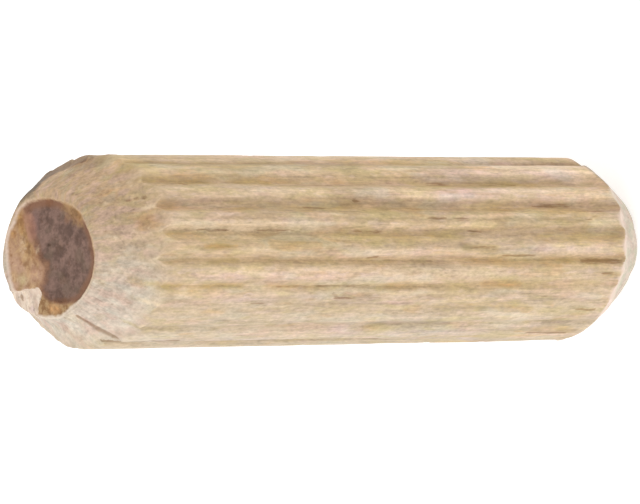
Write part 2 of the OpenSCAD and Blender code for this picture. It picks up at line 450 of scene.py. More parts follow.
# ---------------------------------------------------------------------------
# Marks on the wood: (strength, half width mm, softness mm, points as (phi, s))
# ---------------------------------------------------------------------------
MARKS = {
    "dark": [
        (1.0, 0.05, 0.08, [(-32.4, 15.00), (-32.4, 15.22)]),
        (0.75, 0.035, 0.10, [(-13.0, 4.6), (-12.9, 6.5)]),
        (0.60, 0.035, 0.10, [(-13.0, 8.45), (-12.8, 10.7)]),
        (0.55, 0.03, 0.12, [(-12.0, 14.5), (-11.6, 16.1)]),
        (0.35, 0.03, 0.12, [(-11.4, 16.3), (-11.3, 18.0)]),
        (0.70, 0.02, 0.09, [(-11.8, 21.8), (-11.4, 22.9)]),
        (0.55, 0.09, 0.24, [(-47.2, 20.3), (-47.2, 22.0)]),
        (0.70, 0.05, 0.14, [(-29.6, 26.8), (-29.5, 29.3)]),
        (0.55, 0.03, 0.10, [(-24.7, 29.5), (-24.7, 31.7)]),
        (0.85, 0.09, 0.16, [(7.9, 29.6), (8.5, 32.3)]),
        (0.75, 0.04, 0.10, [(3.9, 24.1), (4.3, 26.4)]),
        (0.50, 0.05, 0.10, [(-10.3, 31.6), (-9.6, 32.2)]),
        (0.55, 0.03, 0.07, [(7.5, 19.2), (7.6, 19.4)]),
        (0.55, 0.03, 0.07, [(8.8, 18.75), (8.8, 19.0)]),
        (0.60, 0.05, 0.12, [(5.2, 15.3), (4.8, 15.8)]),
        (0.50, 0.06, 0.18, [(-46.6, 4.8), (-44.6, 5.1)]),
        (0.45, 0.04, 0.12, [(30.9, 27.2), (31.4, 28.9)]),
        (0.80, 0.05, 0.14, [(64.6, 28.3), (65.8, 31.0)]),
        (0.70, 0.04, 0.10, [(41.4, 30.1), (41.6, 31.4)]),
        (0.50, 0.04, 0.10, [(67.2, 21.8), (67.2, 22.1)]),
        (0.95, 0.05, 0.08, [(73.5, 1.72), (71.5, 2.0), (69.3, 2.35), (67.9, 2.91), (67.2, 5.8)]),
        (0.70, 0.03, 0.08, [(68.7, 11.1), (69.1, 12.1)]),
        (0.65, 0.03, 0.08, [(71.9, 17.4), (72.8, 19.0)]),
        (0.50, 0.03, 0.10, [(49.4, 5.4), (49.7, 6.5)]),
        (0.45, 0.03, 0.12, [(-32.8, 14.7), (-33.6, 16.1)]),
        (0.45, 0.04, 0.12, [(-46.2, 29.4), (-46.3, 30.6)]),
        (0.50, 0.04, 0.12, [(-46.0, 24.3), (-46.9, 26.5)]),
        (0.60, 0.12, 0.24, [(-73.0, 31.0), (-69.0, 32.1)]),
        (0.60, 0.05, 0.14, [(-28.0, 11.6), (-27.2, 13.2)]),
        (0.45, 0.05, 0.14, [(-28.0, 13.4), (-26.8, 14.2)]),
        (0.70, 0.04, 0.12, [(-19.2, 19.4), (-19.2, 20.5)]),
        (0.60, 0.04, 0.12, [(-18.9, 21.0), (-18.8, 22.0)]),
        (0.50, 0.05, 0.12, [(-18.5, 29.9), (-18.0, 30.2)]),
        (0.45, 0.03, 0.12, [(-44.9, 10.8), (-44.4, 14.2)]),
        (0.40, 0.04, 0.12, [(6.1, 4.8), (6.6, 5.4)]),
        (0.55, 0.03, 0.10, [(22.0, 9.6), (22.4, 12.0), (22.5, 15.6)]),
        (0.70, 0.07, 0.08, [(26.6, 13.42), (29.8, 13.46)]),
        (0.75, 0.05, 0.08, [(30.2, 13.5), (30.3, 14.7)]),
        (0.30, 0.02, 0.06, [(28.8, 13.7), (28.9, 14.7)]),
        (0.35, 0.04, 0.10, [(29.9, 14.9), (30.0, 16.6)]),
        (0.55, 0.04, 0.12, [(15.4, 30.9), (15.9, 32.2)]),
        (0.65, 0.04, 0.12, [(-1.2, 21.8), (-0.9, 23.4)]),
        (0.55, 0.05, 0.12, [(-24.6, 24.4), (-25.0, 26.4)]),
        (0.45, 0.04, 0.10, [(33.2, 8.3), (33.2, 10.0)]),
    ],
    "olive": [
        (0.9, 0.10, 0.22, [(-47.5, 4.6), (-47.6, 6.4)]),
        (0.9, 0.10, 0.22, [(-47.6, 8.4), (-47.8, 10.4)]),
        (0.7, 0.10, 0.25, [(-45.9, 20.6), (-45.9, 25.0)]),
        (0.9, 0.10, 0.25, [(-46.2, 24.4), (-46.6, 28.0)]),
        (0.8, 0.07, 0.18, [(-2.2, 4.7), (-2.2, 6.2)]),
        (0.7, 0.07, 0.20, [(6.3, 5.3), (6.7, 6.9)]),
        (0.8, 0.07, 0.20, [(20.8, 1.95), (20.9, 3.5)]),
        (0.8, 0.07, 0.20, [(21.1, 5.0), (21.2, 7.3)]),
        (0.8, 0.10, 0.20, [(15.4, 30.4), (16.1, 32.3)]),
        (1.0, 0.12, 0.22, [(-1.0, 21.4), (-0.4, 23.4)]),
        (0.8, 0.14, 0.30, [(-6.5, 26.5), (-7.0, 32.0)]),
        (0.6, 0.12, 0.30, [(-68.5, 24.6), (-67.8, 32.0)]),
        (0.6, 0.12, 0.35, [(37.0, 20.5), (38.0, 26.5)]),
        (0.5, 0.12, 0.35, [(-28.0, 7.5), (-27.5, 14.5)]),
        (0.5, 0.10, 0.30, [(-8.0, 15.5), (-8.5, 20.5)]),
        (0.8, 0.15, 0.30, [(-63.0, 5.0), (-62.0, 10.5)]),
        (0.7, 0.15, 0.30, [(-27.0, 24.0), (-25.0, 30.0)]),
        (0.9, 0.14, 0.30, [(-70.0, 28.5), (-69.0, 32.4)]),
        (0.8, 0.12, 0.30, [(-50.0, 2.6), (-49.0, 4.6)]),
        (0.7, 0.12, 0.30, [(-68.0, 2.6), (-66.0, 5.6)]),
        (0.6, 0.14, 0.30, [(-62.0, 1.9), (-60.0, 3.6)]),
    ],
    "rust": [
        (0.68, 0.05, 0.14, [(-2.7, 4.8), (-2.7, 6.7)]),
        (1.2, 0.10, 0.20, [(-3.8, 9.0), (-2.6, 9.8), (-2.6, 11.8)]),
        (0.60, 0.12, 0.25, [(-52.0, 4.7), (-52.2, 6.7)]),
        (0.52, 0.10, 0.25, [(-69.2, 13.0), (-70.8, 21.5)]),
        (0.90, 0.12, 0.22, [(21.3, 23.0), (22.3, 25.4)]),
        (0.45, 0.05, 0.10, [(36.0, 28.2), (40.0, 28.4)]),
        (0.80, 0.16, 0.30, [(60.8, 28.4), (62.2, 31.4)]),
        (0.68, 0.035, 0.12, [(62.1, 27.3), (63.4, 31.2)]),
        (0.45, 0.10, 0.25, [(8.5, 21.5), (8.3, 28.5)]),
        (0.45, 0.12, 0.25, [(22.0, 16.0), (21.5, 18.0)]),
        (0.45, 0.10, 0.22, [(21.0, 9.0), (21.8, 11.0)]),
        (0.52, 0.10, 0.25, [(-27.0, 2.3), (-26.5, 5.0)]),
        (0.52, 0.12, 0.22, [(-10.5, 2.8), (-9.5, 4.6)]),
        # painted shade where the flutes start
        (0.68, 0.16, 0.24, [(-24.0, 2.05), (-17.0, 2.2)]),
    ],
    "mauve": [
        (0.95, 0.06, 0.14, [(33.7, 16.6), (34.8, 18.7)]),
        (0.8, 0.05, 0.12, [(30.9, 19.6), (30.9, 20.6)]),
        (0.6, 0.08, 0.20, [(3.6, 20.0), (4.1, 21.6)]),
        (0.6, 0.20, 0.40, [(-37.0, 20.0), (-36.5, 24.5)]),
        (0.4, 0.15, 0.40, [(-35.0, 24.5), (-34.0, 29.0)]),
        (0.5, 0.12, 0.30, [(30.0, 9.2), (31.0, 11.0)]),
        (0.5, 0.10, 0.30, [(-57.0, 8.0), (-56.0, 9.5)]),
    ],
    "pale": [
        (0.6, 0.05, 0.12, [(-37.4, 15.2), (-37.4, 15.5)]),
        (0.5, 0.06, 0.16, [(1.3, 15.4), (1.3, 16.2)]),
        (0.7, 0.10, 0.22, [(-61.0, 26.5), (-62.5, 31.5)]),
        (0.5, 0.10, 0.25, [(-15.0, 3.0), (-15.0, 12.0)]),
        (0.5, 0.10, 0.30, [(13.5, 15.5), (14.5, 24.0)]),
        (0.8, 0.06, 0.14, [(-29.8, 2.2), (-29.8, 2.4)]),
        (0.3, 0.12, 0.30, [(51.0, 27.0), (47.0, 28.5)]),
    ],
}
# shallow scored lines between the flutes: (depth mm, half width mm, points as (phi, s))
SCORES = [(0.045, 0.13, [(-19.6, 3.2), (-19.5, 12.0), (-20.3, 15.0), (-19.4, 19.0), (-19.2, 32.3)]),
          (0.080, 0.20, [(-7.9, 3.2), (-6.8, 11.0), (-4.8, 17.0), (-3.4, 22.5), (-6.6, 28.5), (-6.4, 31.5)]),
          (0.040, 0.15, [(31.3, 3.0), (30.9, 11.5), (27.3, 13.6), (27.5, 16.0), (32.2, 18.5), (31.2, 24.0), (34.8, 31.8)]),
          (0.030, 0.12, [(112.0, 5.0), (111.0, 20.0), (113.0, 30.0)]), (0.035, 0.14, [(158.0, 4.0), (160.0, 15.0), (158.5, 26.0)]),
          (0.035, 0.13, [(-150.0, 8.0), (-151.0, 31.0)]), (0.030, 0.13, [(-105.0, 6.0), (-104.0, 22.0)])]
# broad soft changes of tone: (amount, half width mm, softness mm, points as (phi, s)). The first two, darker strokes
# near the upper outline, are painted shade.
TONES = [(-0.16, 0.25, 0.45, [(-62.0, 2.6), (-61.0, 9.0), (-62.0, 16.0)]), (-0.20, 0.25, 0.60, [(-93.0, 2.2), (-80.0, 2.6), (-74.0, 4.2)]), (0.07, 0.35, 0.50, [(-70.0, 0.9), (-68.0, 2.4)]), (0.09, 0.30, 0.45, [(-67.5, 2.9), (-67.0, 4.6)]),
         (0.16, 0.15, 0.45, [(-58.5, 24.5), (-57.0, 31.6)]), (0.13, 0.15, 0.35, [(-36.8, 17.0), (-36.5, 31.6)]),
         (-0.07, 0.20, 0.40, [(-57.0, 16.5), (-57.5, 23.5)]), (0.13, 0.20, 0.40, [(-53.5, 11.0), (-53.0, 14.5)]), (0.09, 0.16, 0.35, [(-50.0, 15.5), (-50.0, 22.0)]), (-0.06, 0.15, 0.35, [(-53.0, 20.5), (-53.0, 25.0)]),
         (-0.17, 0.16, 0.35, [(-35.0, 14.2), (-34.5, 17.2)]), (-0.05, 0.14, 0.30, [(-34.0, 3.5), (-34.0, 10.5)]),
         (0.10, 0.12, 0.30, [(-31.5, 19.0), (-31.5, 26.0)]), (0.14, 0.14, 0.30, [(-26.3, 23.5), (-26.0, 30.0)]),
         (0.06, 0.12, 0.30, [(-23.0, 13.5), (-22.5, 30.0)]), (-0.10, 0.12, 0.30, [(-19.5, 14.5), (-19.5, 21.5)]),
         (-0.14, 0.12, 0.28, [(-16.8, 24.0), (-16.6, 29.5)]), (-0.08, 0.20, 0.35, [(-6.2, 3.5), (-4.0, 21.0)]),
         (-0.16, 0.12, 0.30, [(-1.7, 21.5), (-1.5, 26.5)]), (0.09, 0.12, 0.28, [(4.1, 13.5), (4.2, 30.5)]),
         (0.09, 0.12, 0.28, [(12.8, 5.0), (12.8, 28.5)]), (0.12, 0.14, 0.30, [(24.8, 4.0), (24.8, 10.0)]),
         (-0.09, 0.20, 0.35, [(30.0, 3.5), (30.0, 15.5)]), (-0.09, 0.12, 0.28, [(31.8, 14.0), (31.8, 29.5)]),
         (-0.18, 0.16, 0.35, [(51.3, 17.5), (51.3, 30.0)]), (0.14, 0.16, 0.35, [(47.4, 22.5), (47.4, 27.0)]),
         (0.09, 0.14, 0.30, [(42.0, 24.0), (42.0, 29.5)]), (0.08, 0.20, 0.40, [(61.0, 18.0), (60.0, 29.5)]),
         (-0.08, 0.08, 0.18, [(-68.7, 19.3), (-69.6, 23.7)]), (0.13, 0.08, 0.18, [(-51.0, 30.9), (-51.1, 32.8)]),
         (-0.13, 0.07, 0.17, [(-29.9, 17.9), (-29.9, 21.3)]), (0.12, 0.08, 0.18, [(-27.7, 13.1), (-27.7, 16.0)]),
         (0.16, 0.07, 0.17, [(-15.6, 16.9), (-15.4, 23.5)]), (0.14, 0.07, 0.17, [(-10.1, 0.9), (-9.9, 8.6)]), (0.13, 0.08, 0.18, [(-7.3, 12.4), (-7.1, 19.2)]),
         (0.13, 0.07, 0.17, [(-2.9, 22.2), (-2.5, 30.7)]), (-0.10, 0.08, 0.18, [(2.4, 23.2), (2.6, 28.0)]), (-0.12, 0.08, 0.18, [(8.5, 18.3), (8.7, 20.2)]),
         (-0.15, 0.07, 0.17, [(11.8, 17.0), (12.2, 21.6)]), (-0.12, 0.07, 0.17, [(12.6, 26.2), (13.0, 30.9)]), (-0.08, 0.07, 0.17, [(17.0, 2.2), (17.8, 10.3)]),
         (0.12, 0.07, 0.17, [(31.6, 16.9), (32.9, 26.0)]), (-0.12, 0.08, 0.18, [(39.4, 23.6), (40.5, 29.8)]), (0.10, 0.08, 0.18, [(46.5, 16.7), (47.7, 22.1)]),
         (0.16, 0.08, 0.18, [(48.4, 25.1), (49.5, 30.4)]), (0.22, 0.07, 0.17, [(53.2, 22.8), (54.7, 28.3)]), (-0.17, 0.07, 0.17, [(58.3, 19.4), (62.2, 31.3)]),
         (-0.10, 0.08, 0.18, [(-77.7, 19.7), (-79.6, 24.5)])]
# and of hue, less (+) or more (-) blue
HUES = [(0.14, 0.40, 0.60, [(-71.0, 0.7), (-69.0, 2.8)]), (0.08, 0.22, 0.45, [(-62.0, 2.0), (-61.5, 23.5)]), (0.08, 0.25, 0.40, [(-52.5, 2.2), (-52.5, 9.5)]), (-0.14, 0.20, 0.45, [(-53.0, 21.0), (-53.0, 30.5)]),
        (-0.12, 0.20, 0.45, [(-70.0, 24.5), (-68.0, 31.5)]), (-0.11, 0.20, 0.40, [(-35.0, 21.0), (-34.5, 27.5)]), (0.12, 0.20, 0.40, [(-6.0, 2.0), (-5.0, 20.5)]),
        (0.12, 0.15, 0.35, [(7.0, 24.0), (7.0, 31.0)]), (-0.07, 0.25, 0.40, [(14.3, 3.0), (14.3, 31.0)]),
        (0.09, 0.15, 0.35, [(22.0, 1.8), (22.0, 30.0)]), (-0.09, 0.15, 0.35, [(28.7, 6.5), (28.7, 12.0)]), (-0.11, 0.20, 0.45, [(58.5, 15.5), (59.5, 28.0)]),
        (-0.08, 0.15, 0.40, [(68.0, 4.0), (68.0, 12.0)]), (0.09, 0.20, 0.40, [(-24.0, 11.5), (-24.0, 19.5)]), (0.11, 0.20, 0.40, [(-20.0, 24.0), (-19.0, 31.0)]),
        (-0.10, 0.20, 0.60, [(100.0, 3.0), (101.0, 20.0)]), (0.12, 0.25, 0.50, [(140.0, 8.0), (141.0, 30.0)]), (-0.10, 0.30, 0.60, [(-135.0, 6.0), (-134.0, 30.0)]),
        (0.10, 0.20, 0.50, [(-165.0, 3.0), (-164.0, 22.0)]), (0.10, 0.20, 0.50, [(-98.0, 12.0), (-97.0, 31.0)]),
        (0.11, 0.12, 0.24, [(-68.7, 18.9), (-70.0, 25.7)]), (0.09, 0.12, 0.24, [(-54.1, 17.9), (-54.5, 21.9)]),
        (0.11, 0.12, 0.24, [(-45.6, 20.0), (-46.1, 29.5)]), (0.09, 0.12, 0.24, [(-32.6, 13.4), (-32.7, 15.9)]),
        (0.09, 0.12, 0.24, [(-8.0, 29.1), (-7.9, 31.8)]), (-0.08, 0.12, 0.24, [(1.9, 15.3), (2.2, 19.9)]), (-0.12, 0.12, 0.24, [(2.5, 26.3), (2.8, 31.1)]),
        (0.07, 0.12, 0.24, [(8.1, 0.2), (10.4, 31.2)]), (-0.02, 0.12, 0.24, [(15.1, 5.3), (17.3, 28.2)]), (0.13, 0.12, 0.24, [(55.4, 17.3), (57.0, 22.7)]),
        (0.09, 0.12, 0.24, [(54.7, 22.5), (56.0, 27.4)]), (-0.12, 0.12, 0.24, [(72.6, 21.5), (76.6, 27.6)])]

# painted shade under the burrs where the flutes start: the rust-coloured strokes and the dark stroke here
MARKS["rust"].append((1.0, 0.16, 0.22, [(-22.5, 2.0), (-17.0, 2.0)]))
MARKS["rust"].append((0.8, 0.14, 0.25, [(-28.2, 2.3), (-28.2, 3.6)]))
MARKS["pale"].append((0.5, 0.03, 0.08, [(-15.7, 4.24), (-15.0, 6.21)]))
MARKS["dark"].append((0.35, 0.03, 0.12, [(-22.4, 2.10), (-16.4, 1.90)]))

# the remaining sides carry marks of the same kinds
_rng = np.random.RandomState(2024)
for _kind, _count, _hw, _soft, _len in (("dark", 46, 0.035, 0.11, 1.6), ("olive", 18, 0.10, 0.25, 2.6),
                                        ("rust", 16, 0.08, 0.22, 2.2), ("mauve", 10, 0.08, 0.25, 2.2), ("pale", 12, 0.08, 0.22, 2.0)):
    for _ in range(_count):
        _p = 80 + 200 * _rng.rand()
        _s = 2.6 + 28.5 * _rng.rand()
        _l = _len * (0.3 + 1.2 * _rng.rand())
        MARKS[_kind].append((0.35 + 0.5 * _rng.rand(), _hw * (0.7 + 0.8 * _rng.rand()), _soft, [(_p, _s), (_p + 1.6 * (_rng.rand() - 0.5), min(_s + _l, 32.3))]))


def reach(phi, s, pts, stretch=1.0):
    """Distance in mm on the unrolled side to a line through (phi, s) points; lengths along the pin count stretch times."""
    u = np.radians(wrap_deg(phi - pts[0][0])) * 4.0
    line = [(math.radians(wrap_deg(a - pts[0][0])) * 4.0, b) for a, b in pts]
    best = np.full(u.shape, 1e9)
    for (x0, y0), (x1, y1) in zip(line, line[1:]):
        dx, dy = x1 - x0, y1 - y0
        t = np.clip(((u - x0) * dx + (s - y0) * dy) / (dx * dx + dy * dy), 0, 1)
        best = np.minimum(best, np.hypot(u - x0 - t * dx, (s - y0 - t * dy) * stretch))
    return best


def paint(kind, phi, s):
    """How strongly each point carries one kind of mark, 0..1."""
    out = np.zeros(phi.shape)
    for amount, half, soft, pts in MARKS[kind]:
        lo, hi = min(p[1] for p in pts) - 1, max(p[1] for p in pts) + 1
        near = (s > lo) & (s < hi) & (np.abs(wrap_deg(phi - pts[0][0])) < 20)
        if not near.any():
            continue
        u, v = np.radians(wrap_deg(phi[near] - pts[0][0])) * 4.0, s[near]
        half, soft = (half * 0.5, soft * 1.1) if kind == "dark" else (half * 0.6, soft * 1.25)
        best = np.full(u.shape, 1e9)
        line = [(math.radians(wrap_deg(a - pts[0][0])) * 4.0, b) for a, b in pts]
        for (x0, y0), (x1, y1) in zip(line, line[1:]):
            dx, dy = x1 - x0, y1 - y0
            t = np.clip(((u - x0) * dx + (v - y0) * dy) / (dx * dx + dy * dy), 0, 1)
            taper = 1 - 0.75 * np.abs(2 * t - 1) ** 3 if len(line) == 2 and abs(dy) > 0.6 else 1.0
            d = np.hypot(u - x0 - t * dx, (v - y0 - t * dy) * 0.6) - half * taper
            best = np.minimum(best, d)
        out[near] = np.maximum(out[near], amount * np.clip(1 - best / soft, 0, 1))
    return out


# ---------------------------------------------------------------------------
# Radius of every point of the side
# ---------------------------------------------------------------------------
T_ODD = np.sin(np.pi * COL_T)[None, :] * np.ones_like(SG)
GROOVE = groove_form(cols)[None, :] * np.ones_like(SG)
ON_BODY = step(-0.03, 0.12, EDGE) * step(-0.03, 0.12, TAIL)

DARKM = paint("dark", PHI, SG)
RG = np.array([fluted(cols, SG[j]) for j in range(NR)])
crest = (1 - GROOVE) ** 2
fibre = 0.009 * fbm(901, PHI, SG, 190, 4.0, 2) + 0.006 * fbm(907, PHI, SG, 420, 2.2, 1)
wear = -0.03 * crest * step(0.05, 0.7, fbm(911, PHI, SG, 60, 3.0, 2))
wear = wear - 0.05 * crest * step(0.52, 0.8, fbm(921, PHI, SG, 80, 0.9, 2))
wear = wear - 0.10 * bump(wrap_deg(PHI + 96), 0, 12) * step(26.5, 28.0, SG)
scrape = 0.035 * GROOVE * fbm(931, PHI, SG, 110, 6.0, 2)
scored = np.zeros_like(SG)
score_m = np.zeros_like(SG)
for _depth, _half, _pts in SCORES:
    _m = bump(reach(PHI, SG, _pts, 0.35) / _half, 0, 1) * (0.55 + 0.45 * step(-0.5, 0.4, fbm(941, PHI, SG, 30, 2.5, 2)))
    scored = scored - _depth * _m
    score_m = np.maximum(score_m, _m)
body = RG + (fibre + wear + scrape + scored) * ON_BODY - 0.022 * DARKM * ON_BODY
cone = top_cone(PHI, SG)
cone_on = step(0.02, 0.18, SG - S_RIM[None, :])
cone = cone + cone_skin(PHI, SG) * cone_on
crackm = crack_depth(PHI, SG)
cone = cone - 0.06 * crackm
# burrs: wood pushed up where the cutter left the flutes
upper_wall = step(0.35, -0.35, T_ODD)
burr = (0.30 + 0.70 * step(-0.4, 0.5, fbm(951, PHI, SG * 0, 70, 1.0, 2))) * (0.15 + 0.85 * upper_wall) * (1 - 0.6 * bump(GROOVE, 0, 0.4))
lip = 0.05 * burr * bump(EDGE, -0.03, 0.22)
low = low_cone(PHI, SG) + (0.010 * fbm(961, PHI, SG, 70, 0.4, 3) + 0.012 * fbm(963, PHI, SG, 190, 1.2, 2)) * step(0.1, 0.3, L - SG)
lowlip = 0.03 * (0.4 + 0.6 * step(-0.3, 0.5, fbm(971, PHI, SG * 0, 60, 1.0, 2))) * bump(TAIL, -0.02, 0.13)


def soft_min(a, b, k):
    h = np.clip(1 - np.abs(a - b) / k, 0, 1)
    return np.minimum(a, b) - h * h * k * 0.25


crease = 0.02 + 0.13 * (1 - GROOVE) ** 2
side = np.where(SG < 12, soft_min(body, cone, crease), soft_min(body, low, 0.02 + 0.05 * (1 - GROOVE)))
RG = side + lip + lowlip
# the bottom edge is slightly rounded
RG = RG - 0.05 * step(L - 0.16, L - 0.02, SG) ** 2


def xyz(phi, r, s):
    p = np.radians(phi)
    return np.stack([-r * np.sin(p), -r * np.cos(p), L - s], -1)


verts = xyz(PHI, RG, SG).reshape(-1, 3)
faces = []
for j in range(NR - 1):
    a = j * NC + cols
    b = j * NC + (cols + 1) % NC
    c = (j + 1) * NC + (cols + 1) % NC
    d = (j + 1) * NC + cols
    faces.append(np.stack([a, d, c, b], -1))
faces = np.concatenate(faces)


def cap(rim, cell, seed, up):
    """Triangles that fill a rim of points (n x 2, in order round). Returns new points and faces."""
    rng = np.random.RandomState(seed)
    centre = rim.mean(0)
    pts = [rim]
    n = len(rim)
    for inset, every in ((0.05, 1), (0.11, 2), (0.18, 2)):
        v = centre - rim
        pts.append((rim + v / np.linalg.norm(v, axis=1)[:, None] * inset)[::every])
    lo, hi = rim.min(0), rim.max(0)
    xs = np.arange(lo[0], hi[0], cell)
    ys = np.arange(lo[1], hi[1], cell * 0.866)
    gx, gy = np.meshgrid(xs, ys)
    gx = gx + (np.arange(len(ys)) % 2)[:, None] * cell / 2
    g = np.stack([gx.ravel(), gy.ravel()], -1) + (rng.rand(gx.size, 2) - 0.5) * cell * 0.35
    ang = np.arctan2(g[:, 1] - centre[1], g[:, 0] - centre[0])
    ra = np.arctan2(rim[:, 1] - centre[1], rim[:, 0] - centre[0])
    rr = np.linalg.norm(rim - centre, axis=1)
    o = np.argsort(ra)
    limit = np.interp(ang, ra[o], rr[o], period=2 * np.pi)
    keep = np.linalg.norm(g - centre, axis=1) < limit - 0.18 - cell * 0.7
    pts.append(g[keep])
    allp = np.concatenate(pts)
    edges = [(i, (i + 1) % n) for i in range(n)]
    out = delaunay_2d_cdt([Vector(p) for p in allp.tolist()], edges, [], 1, 1e-7)
    ov, tris, orig = out[0], out[2], out[3]
    index = [o_[0] if o_ else -1 for o_ in orig]
    assert min(index) >= 0 and len(ov) == len(allp), "the cap made new points"
    tris = np.array([[index[i] for i in t] for t in tris])
    p = allp
    area = np.cross(p[tris[:, 1]] - p[tris[:, 0]], p[tris[:, 2]] - p[tris[:, 0]])
    flip = (area > 0) != up
    tris[flip] = tris[flip][:, ::-1]
    return allp[n:], tris


tp, tt = cap(verts[:NC, :2], 0.070, 5, True)
lp, lt = cap(verts[(NR - 1) * NC:, :2], 0.11, 6, False)


def low_face_height(x, y):
    """The sawn lower end: shallow saw marks, with its highest points on z = 0."""
    turn = math.radians(24)
    w = x * math.cos(turn) + y * math.sin(turn)
    saw = 0.5 + 0.5 * np.sin(2 * np.pi * (w / 0.42 + 0.25 * plane_noise(701, x, y, 1.2, 2)))
    h = 0.022 * saw * (0.4 + 0.6 * plane_noise(705, x, y, 0.8, 2) ** 2) + 0.02 * step(0.2, 0.9, plane_noise(711, x, y, 0.3, 2))
    return np.clip(h, 0, 0.06)


base = len(verts)
top_ids = np.concatenate([np.arange(NC), base + np.arange(len(tp))])
verts = np.concatenate([verts, np.column_stack([tp, L - face_depth(-tp[:, 0], -tp[:, 1])])])
base2 = len(verts)
low_ids = np.concatenate([(NR - 1) * NC + np.arange(NC), base2 + np.arange(len(lp))])
low_z = low_face_height(lp[:, 0], lp[:, 1])
low_z = low_z - low_z.min()
verts = np.concatenate([verts, np.column_stack([lp, low_z])])
tris = np.concatenate([top_ids[tt], low_ids[lt]])
print("triangles", 2 * len(faces) + len(tris))

mesh = bpy.data.meshes.new("dowel_pin_wood")
mesh.from_pydata((verts * MM).tolist(), [], faces.tolist() + tris.tolist())
mesh.update()
mesh.validate()
for poly in mesh.polygons:
    poly.use_smooth = True
mesh.set_sharp_from_angle(angle=math.radians(38))
ob = bpy.data.objects.new("dowel_pin_wood", mesh)
scene.collection.objects.link(ob)

# ---------------------------------------------------------------------------
# Where each finish, painted shade and painted highlight lies, as values on the mesh's points
# ---------------------------------------------------------------------------
NS = NR * NC
n_top, n_low = len(tp), len(lp)
ALLB, ALLC = -verts[:, 0], -verts[:, 1]
ZONES = face_zones(ALLB, ALLC)
s_all = L - verts[:, 2]
on_top = np.concatenate([np.zeros(NS, bool), np.ones(n_top, bool), np.zeros(n_low, bool)])
on_low = np.concatenate([np.zeros(NS + n_top, bool), np.ones(n_low, bool)])
near_face = step(0.75, 0.45, s_all)


def whole(side_values, top=0.0, low=0.0):
    return np.concatenate([side_values.ravel(), np.full(n_top, float(top)), np.full(n_low, float(low))])


# painted shade on the far side of the upper cone, up to a slanting line: a dark band at the outline and a broader brown
# shade
_line = along([(0.0, -111.5), (0.25, -112.0), (0.6, -113.0), (1.0, -114.5), (1.35, -116.0), (1.5, -115.5), (1.62, -112.5), (1.70, -107.5), (1.76, -101.5),
               (1.87, -96.5), (2.0, -88.0), (2.4, -86.0)], SG)
_past = wrap_deg(PHI - _line) + 1.4 * fbm(981, PHI, SG, 60, 0.5, 2)
_upper = step(0.6, -0.2, EDGE) * step(-36, -12, wrap_deg(PHI + 118.0) + 8.0 * fbm(983, PHI, SG, 34, 0.7, 3))
_less = along([(-128, 1.0), (-120, 0.95), (-112, 0.78), (-102, 0.58), (-95, 0.38), (-89, 0.42), (-84, 0.20)], wrap_deg(PHI))
_less = _less * np.clip(0.95 + 0.30 * fbm(985, PHI, SG, 50, 0.5, 3), 0.5, 1.1)
limb_shade = step(0.5, -4.0, _past) * _upper * np.maximum(_less, step(1.6, 1.2, SG))
limb_shade_broad = step(8, -3, _past) * _upper

# painted shade: a narrow dark band on the upper face's edge along the same outline
_cap_phi = np.degrees(np.arctan2(ALLB, ALLC))
_cap_edge = circle_radius(_cap_phi, TOP_OFF, TOP_R) + 0.07 * bump(wrap_deg(_cap_phi + 124), 0, 20) - 0.13 * bump(wrap_deg(_cap_phi + 160), 0, 30) - np.hypot(ALLB, ALLC)
cap_limb_shade = 0.72 * step(0.17, 0.05, _cap_edge) * along([(-140, 0.0), (-135, 0.6), (-131, 1.0), (-119, 1.0), (-113, 0.0)], _cap_phi)

tone_v = np.zeros_like(SG)
for _amount, _half, _soft, _pts in TONES:
    tone_v = tone_v + _amount * step(_soft, 0.0, reach(PHI, SG, _pts, 0.5) - _half)
# painted shade: the scored lines are painted 8 % darker
tone_v = tone_v - 0.08 * score_m * ON_BODY
hue_v = np.zeros_like(SG)
for _amount, _half, _soft, _pts in HUES:
    hue_v = hue_v + _amount * step(_soft, 0.0, reach(PHI, SG, _pts, 0.5) - _half)

